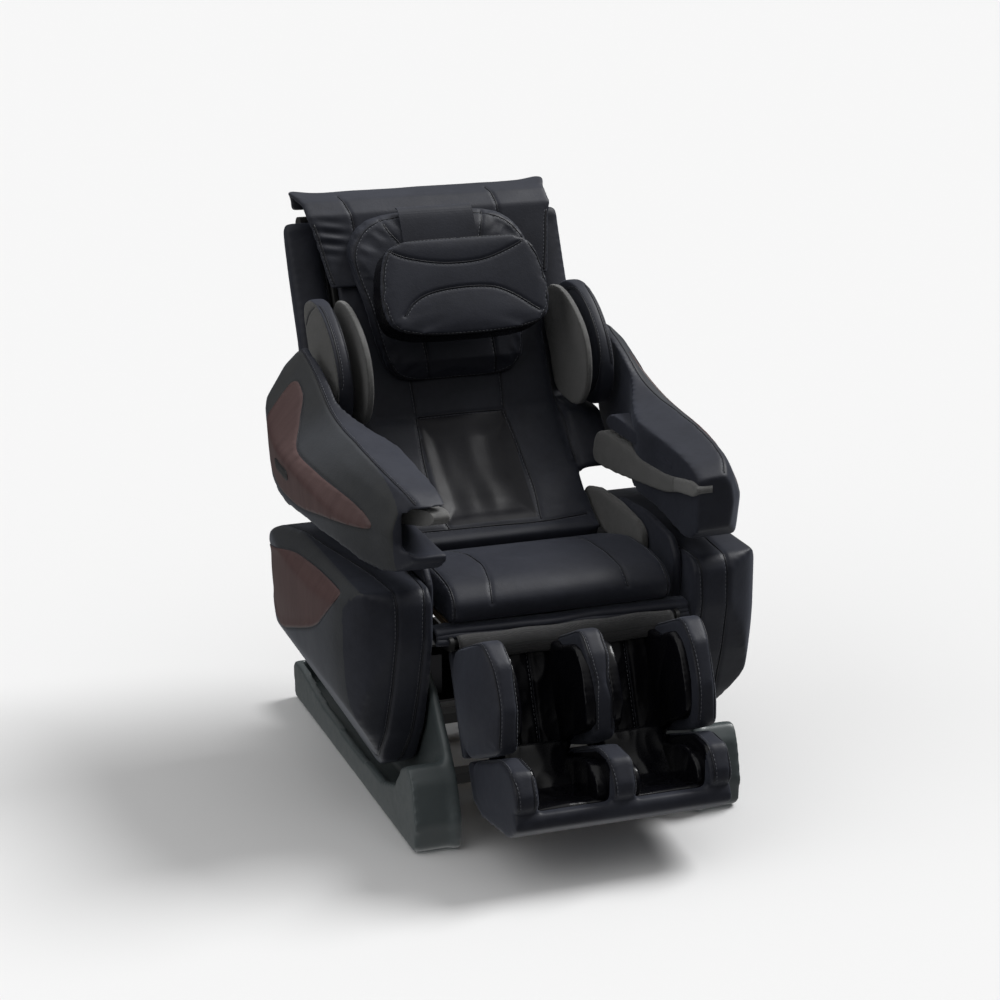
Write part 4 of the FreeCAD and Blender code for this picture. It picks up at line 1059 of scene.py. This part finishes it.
# The outer walls bulge at their middle and close in a little towards their front edges.
BULGE, CLOSE_IN = 0.014, 0.012
outer_edge = np.clip((np.abs(co[:, 0]) - 0.200) / 0.034, 0, 1)
ahead = (LEG[0] - co[:, 1]) * math.cos(LEAN) + (co[:, 2] - LEG[1]) * math.sin(LEAN)
below = (LEG[0] - co[:, 1]) * math.sin(LEAN) - (co[:, 2] - LEG[1]) * math.cos(LEAN)
round_out = np.clip(1 - (ahead - 0.085) ** 2 / 0.0150, 0, 1) * np.clip(
    1 - (below - 0.125) ** 2 / 0.0150, 0, 1)
close = np.clip((ahead - 0.08) / 0.12, 0, 1) ** 2
co[:, 0] += np.sign(co[:, 0]) * outer_edge * (BULGE * round_out - CLOSE_IN * close)
put(calf, co)
sew(calf, "leg_rest", calf_lines, groove=0.002, stitch=(-1,))
declare(calf, "leg_rest", ["calf_pads", "calf_shell"])

CALF_BAG = [
    (-12, 34), (60, 34), (132, 36), (166, 66), (176, 110), (172, 160), (146, 206), (60, 216),
    (-12, 216),
]
FOOT_BAG = [
    (-10, 262), (90, 262), (142, 266), (184, 296), (192, 328), (170, 352), (90, 348), (-10, 330),
]
CHANNEL = [(26, -14), (188, -14), (188, -252), (26, -252)]
for side, s in SIDES:
    airbag(f"calf_airbag_inner_{side}", 28 * s, CALF_BAG, 24, "leg_rest", 1 + s)
    airbag(f"calf_airbag_outer_{side}", 187 * s, CALF_BAG, 24, "leg_rest", 4 + s)
    airbag(f"foot_airbag_inner_{side}", 33 * s, FOOT_BAG, 30, "foot_rest", 8 + s, 0.005)
    airbag(f"foot_airbag_outer_{side}", 182 * s, FOOT_BAG, 30, "foot_rest", 11 + s, 0.005)

    behind = Matrix.Scale(s, 4, (1, 0, 0)) @ LEG_ORIGIN @ DOWN_LEG
    behind = behind @ Matrix.Translation((0, 0.011, 0))
    back_wall = slab_from(f"calf_lining_{side}", rounded_outline(metres(CHANNEL)), 0.016, behind)
    # The back wall's near-black lining paints the shade at the back of the channel.
    soften(back_wall, 0.005, 4, GLOSSY_LINING_PAINTED_SHADE)
    refine(back_wall)
    wrinkled(back_wall, 0.003, 20.0, 15 + s)
    sew(back_wall, "leg_rest", [[leg(x * s, 0, d) for d in (24, 90, 160, 226)] for x in (84, 130)],
        toward=LEG_IN, groove=0.004)
    declare(back_wall, "leg_rest")

foot = form("foot_unit_leather", ["foot_pads", "foot_shell"], 0.006, 3, BLACK)
refine(foot)
FOOT_BAND = [(20, 246), (110, 247), (160, 247), (208, 268), (228, 300), (232, 330), (222, 352)]
foot_lines = [[leg(x, f, d) for f, d in FOOT_BAND] for x in (-25, 25, -190, 190, -226, 226)]
sew(foot, "foot_rest", foot_lines, groove=0.002, stitch=(-1,))
paint(foot, GLOSSY_LINING_PAINTED_SHADE, lambda centre, out: 0.024 < abs(centre.x) < 0.191 and centre.y > -0.655
      and out.z > -0.4)
declare(foot, "foot_rest", ["foot_pads", "foot_shell"])

SOLE = [
    (3, 214), (20, 226), (34, 276), (62, 316), (112, 336), (184, 345), (188, 360), (60, 354),
    (-10, 330), (-22, 266), (0, 256),
]
WELL_X = 0.1075
for side, s in SIDES:
    spot = Matrix.Translation((WELL_X * s, 0, 0)) @ LEG_ORIGIN @ ACROSS_LEG
    sole = slab_from(f"foot_sole_{side}", metres([(f, -d) for f, d in SOLE]), 0.166, spot)
    soften(sole, 0.006, 8, GLOSSY_LINING_PAINTED_SHADE)
    refine(sole)
    co = places(sole)
    # It narrows towards its top.
    tall = np.clip((co[:, 2] - 0.150) / 0.10, 0, 1)
    co[:, 0] = WELL_X * s + (co[:, 0] - WELL_X * s) * (1 - 0.30 * tall)
    put(sole, co)
    wrinkled(sole, 0.006, 11.0, 21 + s)
    declare(sole, "foot_rest")


def gaiter():
    """The dark cloth between the seat front and the leg rest, whose fixed shape curves down over
    the hinge.
    """
    steps, half_width = 44, 0.236
    path = smooth_line([(0, -0.296, 0.422), (0, -0.326, 0.423), (0, -0.352, 0.424),
                        (0, -0.366, 0.406), (0, -0.366, 0.380)], step=0.008)
    verts, faces = [], []
    for layer in (0.0, 0.002):
        for point in path:
            for i in range(steps + 1):
                x = -half_width + 2 * half_width * i / steps
                ripple = 0.0012 * math.sin(i * 0.55) + 0.0006 * math.sin(i * 0.23)
                verts.append((x, point[1] + layer, point[2] + ripple - layer))
    rows, width = len(path), steps + 1
    for layer in (0, 1):
        base = layer * rows * width
        for r in range(rows - 1):
            for i in range(steps):
                quad = (base + r * width + i, base + r * width + i + 1,
                        base + (r + 1) * width + i + 1, base + (r + 1) * width + i)
                faces.append(quad if layer else tuple(reversed(quad)))
    rim = ([*range(width)] + [r * width + steps for r in range(1, rows)]
           + [(rows - 1) * width + i for i in range(steps - 1, -1, -1)]
           + [r * width for r in range(rows - 2, 0, -1)])
    skip = rows * width
    for a, b in zip(rim, rim[1:] + rim[:1]):
        faces.append((a, b, b + skip, a + skip))
    # The cloth's near-black colour paints the shadow under the seat front.
    cloth = from_arrays("knee_gaiter", verts, faces, GAITER_PAINTED_SHADE)
    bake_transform(cloth)


gaiter()


# ---- stage and camera

def floor():
    """A pale floor that takes shadows but throws no light back onto the chair."""
    bpy.ops.mesh.primitive_plane_add(size=80.0, location=(0, 0, 0))
    plane = bpy.context.object
    plane.name = "floor"
    n = Nodes("floor")
    n.set(Roughness=0.9, Specular_IOR_Level=0.0)
    n.shader.inputs["Base Color"].default_value = (0.80, 0.80, 0.80, 1.0)
    plane.data.materials.append(n.material)
    plane.visible_diffuse = plane.visible_glossy = False


def sky():
    """A sky that is brightest overhead, and an even pale grey where it is seen directly."""
    world = bpy.data.worlds.new("studio")
    bpy.context.scene.world = world
    world.use_nodes = True
    tree = world.node_tree
    background = tree.nodes["Background"]
    background.inputs["Color"].default_value = (1.0, 1.0, 1.0, 1.0)
    where, split, rise, steep, seen, mix = (tree.nodes.new("ShaderNode" + kind) for kind in (
        "TexCoord", "SeparateXYZ", "MapRange", "Math", "LightPath", "Mix"))
    rise.inputs["To Min"].default_value = SKY_LOW
    rise.inputs["To Max"].default_value = SKY_TOP
    steep.operation = "POWER"
    steep.inputs[1].default_value = 2.0
    steep.use_clamp = True
    mix.inputs["B"].default_value = SKY_SEEN
    for output, target in (
            (where.outputs["Generated"], split.inputs["Vector"]),
            (split.outputs["Z"], steep.inputs[0]),
            (steep.outputs["Value"], rise.inputs["Value"]),
            (seen.outputs["Is Camera Ray"], mix.inputs["Factor"]),
            (rise.outputs["Result"], mix.inputs["A"]),
            (mix.outputs["Result"], background.inputs["Strength"])):
        tree.links.new(output, target)


def sun(name, energy, angle, source):
    """A soft sun that shines from the side of source, with an angle in degrees."""
    light = bpy.data.lights.new(name, "SUN")
    light.energy = energy
    light.angle = math.radians(angle)
    link_new(name, light).rotation_euler = Vector(source).to_track_quat("Z", "Y").to_euler()


SKY_LOW, SKY_TOP, SKY_SEEN = 0.04, 0.90, 0.84
floor()
sky()
sun("fill", 0.75, 70, (-1.0, -0.10, 0.40))
sun("key", 2.55, 26, (0.93, 0.20, 1.06))
lens = bpy.data.cameras.new("camera")
lens.lens = 90.0
lens.sensor_width = 36.0
camera = link_new("camera", lens)
camera.location = (-1.7548, -4.8397, 2.1972)
camera.rotation_euler = Euler((math.pi / 2 - 0.3029, 0.0, -0.3443))
bpy.context.scene.camera = camera
bpy.context.scene.view_settings.view_transform = "Standard"
